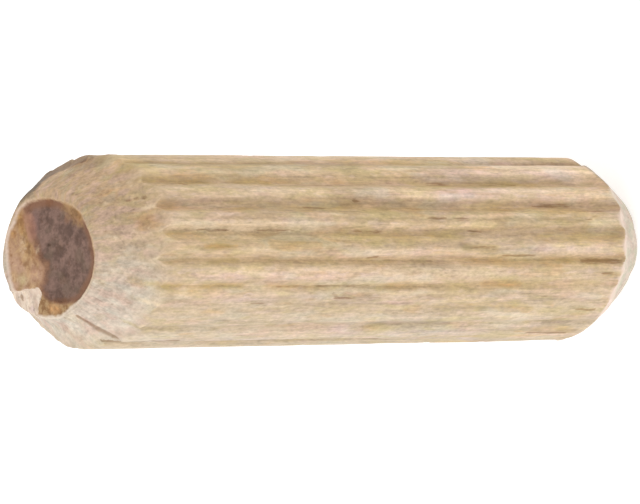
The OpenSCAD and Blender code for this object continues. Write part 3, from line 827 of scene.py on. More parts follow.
# the chip's floor reaches the side below the rim, so its zone is only held near the floor
VALUES = {
    "groove": whole(GROOVE ** 0.75 * ON_BODY * TINT[COL_FLUTE][None, :] * worn_out(COL_FLUTE[None, :], SG)),
    "ridge": whole((1 - GROOVE) ** 2),
    "cap": whole(np.zeros_like(SG), 1.0, 1.0),
    "tone": whole(tone_v),
    "hue": whole(hue_v),
    "edge": whole(EDGE, -3, 3),
    "tail": whole(TAIL, 3, -3),
    "inner": np.where(on_top, ZONES["inner"], np.where(~on_low & (s_all < 0.6), ZONES["inner"] + 0.5 * step(0.12, 0.45, s_all), 1.0)),
    "pit": np.where(on_top, ZONES["dark"], 1.0),
    "chip": np.where(on_top, ZONES["chip"], np.where(~on_low & (s_all < 0.75), ZONES["chip"] + 0.4 * step(0.18, 0.55, s_all), 1.0)),
    "gold": np.where(on_top, step(0.30, -0.18, ZONES["gold"]), 0.0),
    "strip": np.where(on_top, step(0.14, -0.10, ZONES["strip"]), 0.0),
    "foot": np.where(on_top, step(0.07, -0.09, ZONES["foot"]), 0.0),
    "orange": np.where(on_top, step(0.10, -0.12, ZONES["orange"]), 0.0),
    "wan": np.where(on_top, step(0.16, -0.24, ZONES["pale"]), 0.0),
    "crack": whole(crack_depth(PHI, SG, 1.7)),
    "burr_highlight": whole(bump(EDGE, 0.0, 0.24) * burr),
    "limb_shade": np.where(on_top, cap_limb_shade, whole(limb_shade)),
    "limb_shade_broad": whole(limb_shade_broad),
    # painted highlights: a paler band on the far side next to the upper face, and a thin pale line at phi -108.5
    "rim_highlight": whole(0.20 * step(0.5, 0.08, SG) * bump(wrap_deg(PHI - 180), 0, 50) + 0.25 * bump(wrap_deg(PHI + 108.5), 0, 5) * step(0.6, 0.3, SG)),
    # painted shade: darker towards the lower edge all round, and a thin dark line where the flutes end near phi -60
    "far_end_shade": whole(np.maximum(0.08 * step(1.25, 0.45, L - SG) + 0.16 * step(0.30, 0.02, L - SG), 0.9 * bump(wrap_deg(PHI + 60), 0, 24) * bump(TAIL, 0.0, 0.16))),
}
_side_phi = np.concatenate([PHI.ravel(), np.zeros(n_top + n_low)])
_side_s = np.concatenate([SG.ravel(), np.full(n_top + n_low, 99.0)])
for _kind in MARKS:
    VALUES["m_" + _kind] = whole(paint(_kind, PHI, SG))

# small spots on the end face: (kind, strength, b, c, radius b, radius c). The dark and mauve spots inside the chip are
# painted shadows among its torn fibres.
SPOTS = [("m_rust", 1.0, -0.73, -2.27, 0.16, 0.16), ("m_rust", 0.7, -1.22, -1.95, 0.35, 0.14),
         ("m_rust", 0.6, -0.85, -1.85, 0.18, 0.16), ("m_spot", 1.0, -0.27, -0.45, 0.07, 0.10),
         ("m_rust", 0.8, -1.30, 0.55, 0.22, 0.16), ("m_rust", 0.7, -1.45, 1.35, 0.30, 0.14),
         ("m_spot", 1.15, 1.86, -2.06, 0.13, 0.10), ("m_spot", 0.45, 1.95, -1.66, 0.26, 0.07), ("m_mauve", 0.6, 1.80, -1.55, 0.16, 0.10),
         ("m_mauve", 1.2, 2.36, -1.62, 0.15, 0.15), ("m_spot", 0.5, -1.95, -1.45, 0.10, 0.14),
         ("m_rust", 0.8, -1.95, -0.45, 0.18, 0.20), ("m_mauve", 0.6, 0.45, -1.20, 0.40, 0.25),
         ("m_spot", 0.45, 1.05, 0.55, 0.30, 0.16), ("m_spot", 0.35, 1.15, 0.15, 0.16, 0.14),
         ("m_spot", 0.35, 0.15, 1.00, 0.40, 0.12), ("m_spot", 0.4, 1.60, 1.30, 0.14, 0.22),
         ("m_spot", 0.4, -1.3, -0.65, 0.14, 0.18), ("m_spot", 0.3, 1.75, 0.0, 0.14, 0.25),
         ("m_rust", 0.8, 1.98, 0.2, 0.14, 0.45), ("m_rust", 0.5, -0.2, -1.35, 0.10, 0.30),
         ("m_rust", 0.8, -1.22, -1.82, 0.40, 0.16), ("m_pale", 0.40, -0.24, -1.78, 0.45, 0.24), ("m_rust", 0.45, 0.85, -1.15, 0.30, 0.40),
         ("m_rust", 0.9, -0.69, -2.27, 0.16, 0.12), ("m_olive", 0.6, 1.15, -1.84, 0.28, 0.22), ("m_rust", 0.45, 0.41, -1.89, 0.18, 0.22), ("m_spot", 0.5, -0.12, -1.42, 0.32, 0.10), ("m_rust", 0.55, 0.20, -1.10, 0.30, 0.35), ("m_spot", 0.35, -0.45, -1.68, 0.22, 0.12), ("m_pale", 0.35, 1.15, -1.80, 0.22, 0.50), ("m_spot", 0.6, -0.77, -2.25, 0.10, 0.09), ("m_mauve", 0.8, -1.15, -1.18, 0.55, 0.26), ("m_mauve", 0.5, -1.05, -1.85, 0.50, 0.30), ("m_rust", 0.5, -0.20, -1.62, 0.45, 0.20), ("m_spot", 0.30, 1.90, -1.98, 0.30, 0.25), ("m_mauve", 0.8, -1.15, 1.60, 0.35, 0.16),
         ("m_rust", 0.4, 0.30, -1.45, 0.14, 0.16), ("m_pale", 0.5, -0.07, -1.00, 0.22, 0.08), ("m_rust", 0.8, -2.03, -0.38, 0.14, 0.22),
         ("m_spot", 0.35, -1.38, -0.55, 0.18, 0.14), ("m_spot", 0.3, -0.55, 1.14, 0.16, 0.12), ("m_spot", 0.5, -1.63, -1.50, 0.10, 0.16),
         ("m_spot", 0.55, 2.24, -1.72, 0.16, 0.08), ("m_spot", 0.40, 1.88, -1.58, 0.18, 0.05), ("m_mauve", 0.40, 1.68, -2.18, 0.20, 0.16), ("m_pale", 0.45, 1.70, -1.84, 0.12, 0.10), ("m_olive", 0.5, -0.20, 0.10, 0.30, 0.25),
         ("m_olive", 0.5, 1.07, 0.31, 0.30, 0.20)]
VALUES["m_spot"] = np.zeros(len(verts))
for _name, _amount, _b, _c, _rb, _rc in SPOTS:
    _d = np.sqrt(((ALLB - _b) / _rb) ** 2 + ((ALLC - _c) / _rc) ** 2)
    _v = _amount * np.clip(1.5 - _d, 0, 1)
    VALUES[_name] = np.where(on_top, np.maximum(VALUES[_name], _v), VALUES[_name])

# the rust-coloured spots at phi -26.5 and -20.7, where the flutes start, are painted shade
CONE_SPOTS = [("m_spot", 0.9, -92.0, 1.95, 0.16, 0.12), ("m_spot", 0.5, -86.9, 2.10, 0.10, 0.30), ("m_olive", 1.0, -80.8, 2.14, 0.18, 0.35),
              ("m_spot", 0.7, -87.0, 0.93, 0.12, 0.14), ("m_spot", 0.45, -69.2, 0.12, 0.14, 0.14), ("m_spot", 0.95, -37.3, 2.27, 0.09, 0.12),
              ("m_spot", 0.7, -38.3, 2.01, 0.08, 0.12), ("m_spot", 0.7, -39.0, 1.71, 0.08, 0.12), ("m_spot", 0.6, -42.3, 1.43, 0.09, 0.16),
              ("m_spot", 0.55, -45.4, 0.70, 0.08, 0.25), ("m_spot", 0.55, -21.1, 0.72, 0.07, 0.11), ("m_spot", 0.5, -20.3, 1.05, 0.07, 0.11),
              ("m_spot", 0.4, -27.0, 1.07, 0.07, 0.11), ("m_spot", 0.5, 12.0, 1.15, 0.07, 0.12), ("m_spot", 0.5, 10.5, 1.75, 0.07, 0.11),
              ("m_pale", 0.5, -49.9, 2.12, 0.24, 0.11), ("m_pale", 0.3, -30.2, 2.26, 0.20, 0.10), ("m_rust", 1.0, -93.0, 1.90, 0.45, 0.30), ("m_rust", 0.7, 22.0, 1.5, 0.22, 0.35), ("m_pale", 0.35, -57.0, 1.6, 0.25, 0.35), ("m_rust", 0.6, -26.5, 1.6, 0.20, 0.30), ("m_rust", 1.0, -20.7, 2.10, 0.24, 0.24),
              ("m_pale", 0.5, -14.1, 2.02, 0.20, 0.18), ("m_pale", 0.35, -14.1, 1.47, 0.26, 0.26), ("m_pale", 0.9, 33.0, 2.10, 0.09, 0.40),
              ("m_olive", 0.9, 53.5, 2.20, 0.10, 0.40), ("m_rust", 0.7, -52.0, 1.15, 0.20, 0.55), ("m_mauve", 0.6, 24.0, 1.05, 0.25, 0.30), ("m_rust", 0.55, -97.5, 0.72, 0.35, 0.28)]
for _name, _amount, _p, _s, _rp, _rs in CONE_SPOTS:
    _d = np.sqrt((np.radians(wrap_deg(_side_phi - _p)) * 3.5 / _rp) ** 2 + ((_side_s - _s) / _rs) ** 2)
    VALUES[_name] = np.maximum(VALUES[_name], 0.8 * _amount * np.clip(1.45 - 0.85 * _d, 0, 1))

for _name, _v in VALUES.items():
    at = mesh.attributes.new(_name, "FLOAT", "POINT")
    at.data.foreach_set("value", np.ascontiguousarray(_v, dtype=np.float32))

# ---------------------------------------------------------------------------
# The wood
# ---------------------------------------------------------------------------
def lin(r, g, b):
    """An sRGB colour, 0..255, as linear RGBA."""
    def one(v):
        v /= 255.0
        return v / 12.92 if v <= 0.04045 else ((v + 0.055) / 1.055) ** 2.4
    return (one(r), one(g), one(b), 1.0)


class Nodes:
    def __init__(self, tree):
        self.t = tree

    def new(self, kind, **props):
        n = self.t.nodes.new(kind)
        for k, v in props.items():
            setattr(n, k, v)
        return n

    def put(self, socket, v):
        if isinstance(v, bpy.types.NodeSocket):
            self.t.links.new(v, socket)
        else:
            socket.default_value = v

    def calc(self, op, a, b=None, c=None, clamp=False):
        n = self.new("ShaderNodeMath", operation=op, use_clamp=clamp)
        for i, v in enumerate((a, b, c)):
            if v is not None:
                self.put(n.inputs[i], v)
        return n.outputs[0]

    def vec(self, op, a, b):
        n = self.new("ShaderNodeVectorMath", operation=op)
        self.put(n.inputs[0], a)
        self.put(n.inputs[3 if op == "SCALE" else 1], b)
        return n.outputs[0]

    def split(self, v):
        n = self.new("ShaderNodeSeparateXYZ")
        self.put(n.inputs[0], v)
        return n.outputs

    def join(self, a, b, c):
        n = self.new("ShaderNodeCombineXYZ")
        for i, v in enumerate((a, b, c)):
            self.put(n.inputs[i], v)
        return n.outputs[0]

    def value(self, name):
        return self.new("ShaderNodeAttribute", attribute_type="GEOMETRY", attribute_name=name).outputs["Fac"]

    def smooth(self, x, e0, e1, lo=0.0, hi=1.0):
        n = self.new("ShaderNodeMapRange", interpolation_type="SMOOTHSTEP", clamp=True)
        for i, v in enumerate((x, e0, e1, lo, hi)):
            self.put(n.inputs[i], v)
        return n.outputs[0]

    def noise(self, vec, scale, detail=2.0, rough=0.5, distortion=0.0):
        n = self.new("ShaderNodeTexNoise", noise_dimensions="3D")
        self.put(n.inputs["Vector"], vec)
        self.put(n.inputs["Scale"], scale)
        self.put(n.inputs["Detail"], detail)
        self.put(n.inputs["Roughness"], rough)
        self.put(n.inputs["Distortion"], distortion)
        return n.outputs[0]

    def cells(self, vec, scale, randomness=1.0):
        n = self.new("ShaderNodeTexVoronoi", voronoi_dimensions="3D", feature="F1")
        self.put(n.inputs["Vector"], vec)
        self.put(n.inputs["Scale"], scale)
        self.put(n.inputs["Randomness"], randomness)
        return n.outputs["Distance"]

    def mix(self, a, b, f, mode="MIX"):
        n = self.new("ShaderNodeMix", data_type="RGBA", blend_type=mode)
        self.put(n.inputs[0], f)
        self.put(n.inputs[6], a)
        self.put(n.inputs[7], b)
        return n.outputs[2]

    def shade(self, colour, amount):
        """Colour times a number."""
        n = self.new("ShaderNodeVectorMath", operation="SCALE")
        self.put(n.inputs[0], colour)
        self.put(n.inputs[3], amount)
        return n.outputs[0]


mat = bpy.data.materials.new("bare_wood")
mat.use_nodes = True
bsdf = mat.node_tree.nodes["Principled BSDF"]
w = Nodes(mat.node_tree)

# millimetres, with a slow bend so that no streak is dead straight
P = w.vec("SCALE", w.new("ShaderNodeTexCoord").outputs["Object"], 1000.0)
bend = w.new("ShaderNodeTexNoise", noise_dimensions="3D")
w.put(bend.inputs["Vector"], w.vec("MULTIPLY", P, (0.5, 0.5, 0.14)))
w.put(bend.inputs["Scale"], 1.0)
w.put(bend.inputs["Detail"], 1.0)
PW = w.vec("ADD", P, w.vec("SCALE", bend.outputs["Color"], 0.4))
X, Y, Z = w.split(P)
XW, YW, ZW = w.split(PW)
# the same place on a plain 4 mm cylinder, unrolled along the profile, so that streaks run straight up the cones
around = w.new("ShaderNodeVectorMath", operation="NORMALIZE")
w.put(around.inputs[0], w.vec("MULTIPLY", P, (1.0, 1.0, 0.0)))
flat = w.new("ShaderNodeVectorMath", operation="LENGTH")
w.put(flat.inputs[0], w.vec("MULTIPLY", P, (1.0, 1.0, 0.0)))
rise = w.calc("ADD", ZW, w.calc("MULTIPLY", flat.outputs["Value"], w.smooth(Z, 10.0, 25.0, 1.5, -1.5)))
PC = w.vec("ADD", w.vec("SCALE", around.outputs[0], 4.0), w.join(0.0, 0.0, w.calc("MULTIPLY", rise, 0.53)))

# across the year rings (RING), and along them (TANG)
RING = w.calc("ADD", w.calc("MULTIPLY", XW, -0.87), w.calc("MULTIPLY", YW, -0.49))
TANG = w.calc("ADD", w.calc("MULTIPLY", XW, 0.49), w.calc("MULTIPLY", YW, -0.87))

broad = w.noise(w.vec("MULTIPLY", PW, (0.95, 0.95, 0.085)), 1.0, 2.0)
streak = w.noise(w.vec("MULTIPLY", PW, (3.0, 3.0, 0.26)), 1.0, 2.0, 0.55)
thin = w.noise(w.vec("MULTIPLY", PW, (7.5, 7.5, 0.70)), 1.0, 2.0, 0.6)
hair = w.noise(w.vec("MULTIPLY", PW, (16.0, 16.0, 0.9)), 1.0, 2.0, 0.6)
fibre_n = w.noise(w.vec("MULTIPLY", PW, (22.0, 22.0, 1.6)), 1.0, 2.0, 0.6)
line = w.noise(w.vec("MULTIPLY", PW, (7.0, 7.0, 0.11)), 1.0, 2.0, 0.65)
mottle = w.noise(w.vec("MULTIPLY", P, (4.8, 4.8, 1.9)), 1.0, 3.0, 0.65)
dash = w.noise(w.vec("ADD", w.vec("MULTIPLY", P, (11.0, 11.0, 3.4)), (3.0, 1.0, 6.0)), 1.0, 2.0, 0.6)
patch1 = w.noise(w.vec("MULTIPLY", P, (1.2, 1.2, 0.30)), 1.0, 2.0)
patch2 = w.noise(w.vec("ADD", w.vec("MULTIPLY", P, (1.5, 1.5, 0.34)), (11.3, 4.7, 2.1)), 1.0, 2.0)
patch3 = w.noise(w.vec("ADD", w.vec("MULTIPLY", P, (1.8, 1.8, 0.46)), (3.3, 14.7, 7.1)), 1.0, 2.0)
patch4 = w.noise(w.vec("ADD", w.vec("MULTIPLY", P, (3.6, 3.6, 0.90)), (8.3, 2.7, 5.1)), 1.0, 2.0, 0.6)
grain = w.noise(P, 2.4, 3.0, 0.6)
grit = w.noise(P, 7.0, 2.0, 0.65)
grit2 = w.noise(w.vec("ADD", P, (5.1, 2.2, 9.4)), 4.2, 3.0, 0.65)
blotch = w.noise(w.vec("ADD", P, (2.1, 8.2, 1.4)), 1.1, 2.0, 0.5)
cstreak = w.noise(w.vec("MULTIPLY", PC, (4.0, 4.0, 2.9)), 1.0, 3.0, 0.65)
cfine = w.noise(w.vec("ADD", w.vec("MULTIPLY", PC, (8.4, 8.4, 6.6)), (2.0, 7.0, 4.0)), 1.0, 2.0, 0.6)
layer = w.noise(w.join(w.calc("MULTIPLY", RING, 3.8), w.calc("MULTIPLY", TANG, 2.0), w.calc("MULTIPLY", Z, 2.0)), 1.0, 3.0, 0.65)
layer2 = w.noise(w.join(w.calc("MULTIPLY", RING, 8.0), w.calc("MULTIPLY", TANG, 4.8), w.calc("MULTIPLY", Z, 5.0)), 1.0, 2.0, 0.6)
long_blotch = w.noise(w.vec("MULTIPLY", P, (1.1, 1.1, 0.13)), 1.0, 2.0, 0.5)
ctint = w.noise(w.vec("ADD", w.vec("MULTIPLY", PC, (1.5, 1.5, 1.0)), (6.0, 5.0, 3.0)), 1.0, 2.0, 0.55)
ctint2 = w.noise(w.vec("ADD", w.vec("MULTIPLY", PC, (1.9, 1.9, 1.2)), (1.0, 9.0, 8.0)), 1.0, 2.0, 0.55)
# year rings: soft darker lines about 0.66 mm apart
turn_n = w.calc("ADD", w.calc("DIVIDE", w.calc("SUBTRACT", RING, 0.42), 0.66), w.calc("MULTIPLY", w.calc("SUBTRACT", long_blotch, 0.5), 0.9))
saw = w.calc("FRACT", w.calc("ADD", turn_n, w.calc("MULTIPLY", w.calc("SUBTRACT", layer, 0.5), 0.35)))
late = w.calc("MULTIPLY", w.smooth(saw, 0.20, 0.85), w.smooth(saw, 1.0, 0.85))
# rays: thin sheets that run across the rings
ray = w.noise(w.join(w.calc("MULTIPLY", RING, 0.55), w.calc("MULTIPLY", TANG, 9.0), w.calc("MULTIPLY", Z, 0.75)), 1.0, 1.0, 0.5)
ray_m = w.smooth(ray, 0.62, 0.76)

groove = w.value("groove")
ridge = w.value("ridge")
edge = w.value("edge")
tail = w.value("tail")

# --- fluted body
tone = w.calc("ADD", w.calc("MULTIPLY", broad, 0.35), w.calc("MULTIPLY", streak, 0.65))
lit_side_paler = w.smooth(X, -1.0, -3.4)                   # painted light: the -X side, which the light comes from, is painted paler and whiter
lightest = w.mix(lin(215, 190, 159), lin(206, 187, 161), lit_side_paler)
darkest = w.mix(lin(194, 167, 133), lin(196, 175, 147), lit_side_paler)
body_c = w.mix(darkest, lightest, w.smooth(tone, 0.36, 0.64))
body_c = w.mix(body_c, lin(196, 176, 128), w.calc("MULTIPLY", w.smooth(patch1, 0.52, 0.68), 0.55))
body_c = w.mix(body_c, lin(216, 183, 162), w.calc("MULTIPLY", w.smooth(patch2, 0.53, 0.68), 0.50))
body_c = w.mix(body_c, lin(204, 166, 120), w.calc("MULTIPLY", w.smooth(patch3, 0.57, 0.72), 0.40))
body_c = w.mix(body_c, lin(208, 198, 176), w.calc("MULTIPLY", w.smooth(patch1, 0.46, 0.34), 0.40))
body_c = w.mix(body_c, lin(190, 172, 126), w.calc("MULTIPLY", w.smooth(patch4, 0.53, 0.68), 0.40))
body_c = w.mix(body_c, lin(216, 190, 172), w.calc("MULTIPLY", w.smooth(patch4, 0.46, 0.32), 0.40))
grainy = w.calc("ADD", w.calc("MULTIPLY", mottle, 0.50), w.calc("MULTIPLY", dash, 0.60))
grainy = w.calc("ADD", grainy, w.calc("ADD", w.calc("MULTIPLY", thin, 0.14), w.calc("MULTIPLY", hair, 0.26)))
body_c = w.shade(body_c, w.calc("ADD", w.calc("SUBTRACT", w.calc("MULTIPLY", line, 0.44), 0.04), grainy))
body_c = w.shade(body_c, w.smooth(late, 0.0, 1.0, 1.0, 0.93))
# painted highlight: ridge crests on the +X side are painted up to 8 % lighter
body_c = w.shade(body_c, w.calc("ADD", 1.0, w.calc("MULTIPLY", ridge, w.smooth(X, 1.9, 2.6, 0.0, 0.08))))
body_c = w.shade(body_c, w.smooth(ray_m, 0.0, 1.0, 1.0, 0.91))
vessel = w.cells(w.vec("MULTIPLY", PW, (3.4, 3.4, 0.42)), 1.0)
body_c = w.shade(body_c, w.smooth(w.calc("ADD", vessel, w.calc("MULTIPLY", thin, 0.25)), 0.14, 0.34, 0.86, 1.0))
# the bottoms of the flutes are burnished and hold dust, and are painted darker: partly that dust, partly painted shade
g_in = w.smooth(w.calc("ADD", groove, w.calc("MULTIPLY", w.calc("SUBTRACT", streak, 0.5), 0.45)), 0.08, 0.85)
body_c = w.mix(body_c, w.mix(body_c, (0.79, 0.75, 0.68, 1), 1.0, "MULTIPLY"), g_in)

# --- upper cone: the same layers cut across
# painted light and shade: the cone is painted paler on the -X side, which the light comes from, and darker tan towards
# +X
up = w.smooth(X, -2.6, 2.2)                           # 1 on the +X side
cone_c = w.mix(lin(199, 183, 166), lin(185, 156, 123), up)
cone_c = w.mix(cone_c, lin(180, 162, 120), w.calc("MULTIPLY", w.smooth(ctint, 0.50, 0.66), w.smooth(X, -2.6, 1.5, 0.25, 0.50)))
cone_c = w.mix(cone_c, lin(198, 167, 150), w.calc("MULTIPLY", w.smooth(ctint2, 0.48, 0.62), 0.55))
cone_c = w.mix(cone_c, lin(198, 193, 176), w.calc("MULTIPLY", w.smooth(ctint2, 0.46, 0.34), w.smooth(X, -2.6, 1.5, 0.45, 0.15)))
pores = w.cells(w.vec("MULTIPLY", PC, (1.25, 1.25, 0.70)), 2.0)
pore_m = w.smooth(w.calc("ADD", pores, w.calc("MULTIPLY", cfine, 0.35)), 0.22, 0.40, 1.0, 0.0)
pore_m = w.calc("MULTIPLY", pore_m, w.smooth(cstreak, 0.42, 0.60, 0.15, 1.0))
cone_c = w.mix(cone_c, lin(138, 108, 82), w.calc("MULTIPLY", pore_m, 0.50))
fine_c = w.calc("ADD", w.calc("MULTIPLY", cstreak, 0.50), w.calc("MULTIPLY", cfine, 0.56))
fine_c = w.calc("ADD", fine_c, w.calc("ADD", w.calc("MULTIPLY", layer, 0.60), w.calc("MULTIPLY", layer2, 0.54)))
cone_c = w.shade(cone_c, w.calc("SUBTRACT", fine_c, w.calc("SUBTRACT", w.smooth(X, 3.4, 1.5, 0.10, 0.165), w.smooth(X, -1.8, -3.4, 0.0, 0.085))))
cone_c = w.shade(cone_c, w.smooth(late, 0.0, 1.0, 1.0, 0.92))
cone_c = w.shade(cone_c, w.smooth(ray_m, 0.0, 1.0, 1.0, 0.90))
body_c = w.shade(body_c, w.calc("ADD", 1.0, w.value("tone")))
body_c = w.vec("MULTIPLY", body_c, w.join(1.0, 1.0, w.calc("SUBTRACT", 1.0, w.value("hue"))))
cone_c = w.shade(cone_c, w.calc("ADD", 1.0, w.value("tone")))
# near the flutes it takes on the body's colour
cone_c = w.mix(cone_c, body_c, w.smooth(edge, -1.1, 0.2, 0.0, 0.55))

# --- end faces
rosy = w.smooth(X, 0.6, -0.9)                         # golden on the +X side, pinker on the other
tan_c = w.mix(w.mix(lin(149, 114, 76), lin(157, 122, 90), rosy), w.mix(lin(175, 139, 94), lin(184, 150, 114), rosy), w.smooth(grain, 0.38, 0.62))
tan_c = w.mix(tan_c, lin(180, 144, 122), w.calc("MULTIPLY", w.smooth(blotch, 0.44, 0.60), w.smooth(X, 0.8, -0.6, 0.35, 0.75)))
tan_c = w.mix(tan_c, lin(138, 100, 66), w.calc("MULTIPLY", w.smooth(grit2, 0.52, 0.72), 0.70))
tan_c = w.mix(tan_c, w.mix(lin(188, 154, 106), lin(204, 172, 134), rosy), w.calc("MULTIPLY", w.smooth(grit2, 0.48, 0.30), 0.60))
tan_c = w.mix(tan_c, lin(180, 160, 122), w.calc("MULTIPLY", w.value("wan"), w.smooth(grit2, 0.35, 0.60, 0.80, 0.40)))
dark_c = w.mix(lin(101, 78, 68), lin(135, 107, 95), w.smooth(grain, 0.36, 0.62))
dark_c = w.mix(dark_c, lin(112, 94, 78), w.calc("MULTIPLY", w.smooth(blotch, 0.50, 0.64), 0.5))
dark_c = w.mix(dark_c, lin(96, 68, 54), w.calc("MULTIPLY", w.smooth(grit2, 0.55, 0.72), 0.55))
dark_c = w.shade(dark_c, w.calc("MULTIPLY", w.calc("ADD", 0.64, w.calc("MULTIPLY", grit, 0.60)), w.smooth(X, -0.3, -1.3, 1.0, 0.93)))
ragged = w.calc("ADD", w.calc("MULTIPLY", w.calc("SUBTRACT", grit, 0.5), 0.16), w.calc("MULTIPLY", w.calc("SUBTRACT", grit2, 0.5), 0.22))
inner = w.calc("ADD", w.value("inner"), w.calc("MULTIPLY", ragged, 0.4))
pit = w.calc("ADD", w.value("pit"), ragged)
chip = w.calc("ADD", w.value("chip"), w.calc("MULTIPLY", ragged, 0.3))
# reddish where the dark core meets the rim, brown where it meets the crescent
dark_c = w.mix(dark_c, lin(136, 98, 74), w.calc("MULTIPLY", w.smooth(inner, -0.46, -0.14), 0.85))
dark_c = w.mix(dark_c, lin(128, 92, 72), w.smooth(pit, -0.28, -0.02, 0.0, 0.80))
face_c = w.mix(w.mix(tan_c, lin(158, 120, 92), w.smooth(pit, 0.26, 0.0, 0.0, 0.85)), dark_c, w.smooth(pit, 0.09, -0.11))
face_c = w.mix(face_c, w.mix(lin(122, 92, 60), lin(160, 128, 84), w.smooth(grain, 0.40, 0.58)), w.calc("MULTIPLY", w.value("gold"), w.smooth(grit2, 0.38, 0.60, 0.90, 0.30)))
face_c = w.mix(face_c, lin(170, 126, 104), w.calc("MULTIPLY", w.value("strip"), w.smooth(grit2, 0.35, 0.62, 0.80, 0.45)))
foot_c = w.mix(lin(136, 101, 66), lin(170, 139, 101), w.smooth(grit2, 0.40, 0.62))
foot_c = w.mix(foot_c, lin(204, 154, 104), w.calc("MULTIPLY", w.value("orange"), w.smooth(grit, 0.35, 0.62, 0.90, 0.35)))
face_c = w.mix(face_c, foot_c, w.value("foot"))

# --- chip: fresh pale wood with torn fibres, with grey specks painted as shadows among them
torn = w.noise(w.vec("MULTIPLY", P, (0.9, 3.6, 1.2)), 1.0, 3.0, 0.65)
chip_c = w.mix(lin(190, 170, 152), lin(228, 210, 190), w.smooth(torn, 0.34, 0.58))
chip_c = w.mix(chip_c, lin(212, 186, 168), w.calc("MULTIPLY", w.smooth(grit2, 0.48, 0.64), 0.5))
chip_c = w.mix(chip_c, lin(146, 132, 120), w.calc("MULTIPLY", w.smooth(grit2, 0.46, 0.32), 0.55))

# --- put them together
loose = w.calc("MULTIPLY", w.calc("SUBTRACT", cfine, 0.5), 0.25)
soft_edge = w.smooth(ridge, 0.10, 0.75, 0.12, 0.95)   # at the ridges the cone's finish fades slowly into the body's
on_cone = w.smooth(w.calc("DIVIDE", w.calc("ADD", edge, loose), soft_edge), 1.0, -0.55)
on_low = w.smooth(w.calc("DIVIDE", w.calc("ADD", tail, loose), w.smooth(ridge, 0.10, 0.75, 0.05, 0.30)), 0.8, -0.6)
# the lower cone is painted pale and pinkish, least so towards +Y: partly cleaner wood, partly painted highlight where
# it is lit at a grazing angle; the bands by height below make it paler next to the flutes, darker in the middle and a
# little paler near the bottom
low_c = w.mix(lin(220, 204, 188), lin(206, 200, 178), w.smooth(ctint, 0.42, 0.60))
low_c = w.mix(low_c, lin(214, 184, 168), w.calc("MULTIPLY", w.smooth(ctint2, 0.48, 0.62), 0.45))
low_c = w.shade(low_c, w.calc("ADD", 0.50, w.calc("ADD", w.calc("MULTIPLY", cstreak, 0.50), w.calc("MULTIPLY", cfine, 0.40))))
low_c = w.mix(low_c, lin(232, 206, 192), w.smooth(Z, 2.0, 2.6, 0.0, 0.55))
low_c = w.shade(low_c, w.calc("ADD", w.smooth(Z, 2.3, 1.7, 1.0, 0.88), w.smooth(Z, 1.2, 0.6, 0.0, 0.09)))
low_c = w.mix(low_c, w.mix(lin(212, 188, 156), lin(186, 158, 122), w.smooth(cstreak, 0.40, 0.62)), w.smooth(Y, -1.2, 1.2, 0.0, 0.55))
low_c = w.mix(low_c, lin(150, 122, 92), w.calc("MULTIPLY", pore_m, 0.5))
cap_m = w.value("cap")
# the sawn lower end: year rings, rays and open pores
end_late = w.calc("FRACT", w.calc("ADD", turn_n, w.calc("MULTIPLY", w.calc("SUBTRACT", grit2, 0.5), 0.30)))
end_late = w.calc("MULTIPLY", w.smooth(end_late, 0.15, 0.85), w.smooth(end_late, 1.0, 0.88))
end_c = w.mix(lin(206, 181, 148), lin(178, 148, 112), end_late)
end_c = w.mix(end_c, lin(214, 192, 164), w.calc("MULTIPLY", w.smooth(ray, 0.56, 0.72), 0.6))
open_pore = w.cells(w.vec("MULTIPLY", P, (1.0, 1.0, 0.2)), 3.6)
end_c = w.mix(end_c, lin(120, 92, 66), w.smooth(w.calc("ADD", open_pore, w.calc("MULTIPLY", grit, 0.25)), 0.20, 0.34, 0.65, 0.0))
end_c = w.mix(end_c, lin(150, 128, 102), w.calc("MULTIPLY", w.smooth(grain, 0.52, 0.68), 0.35))
end_c = w.shade(end_c, w.calc("ADD", 0.72, w.calc("ADD", w.calc("MULTIPLY", grit, 0.34), w.calc("MULTIPLY", grit2, 0.24))))
colour = w.mix(body_c, cone_c, on_cone)
colour = w.mix(colour, low_c, on_low)
colour = w.mix(colour, end_c, w.calc("MULTIPLY", cap_m, w.smooth(Z, 5.0, 2.0)))
# painted highlight: a pale line along the burrs where the flutes start, strongest on the walls that face the light
colour = w.mix(colour, lin(222, 200, 166), w.calc("MULTIPLY", w.smooth(w.value("burr_highlight"), 0.10, 1.0), w.smooth(cfine, 0.35, 0.60, 0.35, 0.80)))
rim_c = w.mix(lin(190, 158, 124), lin(202, 174, 140), w.smooth(grit2, 0.36, 0.64))
rim_c = w.mix(rim_c, lin(218, 196, 180), w.smooth(Y, 0.6, 2.2))
rim_c = w.mix(rim_c, lin(220, 204, 184), w.smooth(X, -1.0, -2.2))
# the worn rim is broad and pale on the -X and far sides, and only a line elsewhere
broad_rim = w.calc("MAXIMUM", w.smooth(Y, 0.2, 2.0), w.smooth(X, -0.6, -1.6))
colour = w.mix(colour, rim_c, w.calc("MULTIPLY", w.smooth(w.calc("DIVIDE", inner, w.smooth(broad_rim, 0.0, 1.0, 0.45, 0.72)), 0.26, 0.02), w.smooth(grit2, 0.36, 0.62, 0.55, 0.90)))
# painted highlight on the far rim
colour = w.shade(colour, w.calc("ADD", 1.0, w.value("rim_highlight")))
colour = w.mix(colour, face_c, w.smooth(inner, 0.07, -0.09))
colour = w.mix(colour, chip_c, w.smooth(chip, 0.02, -0.04))


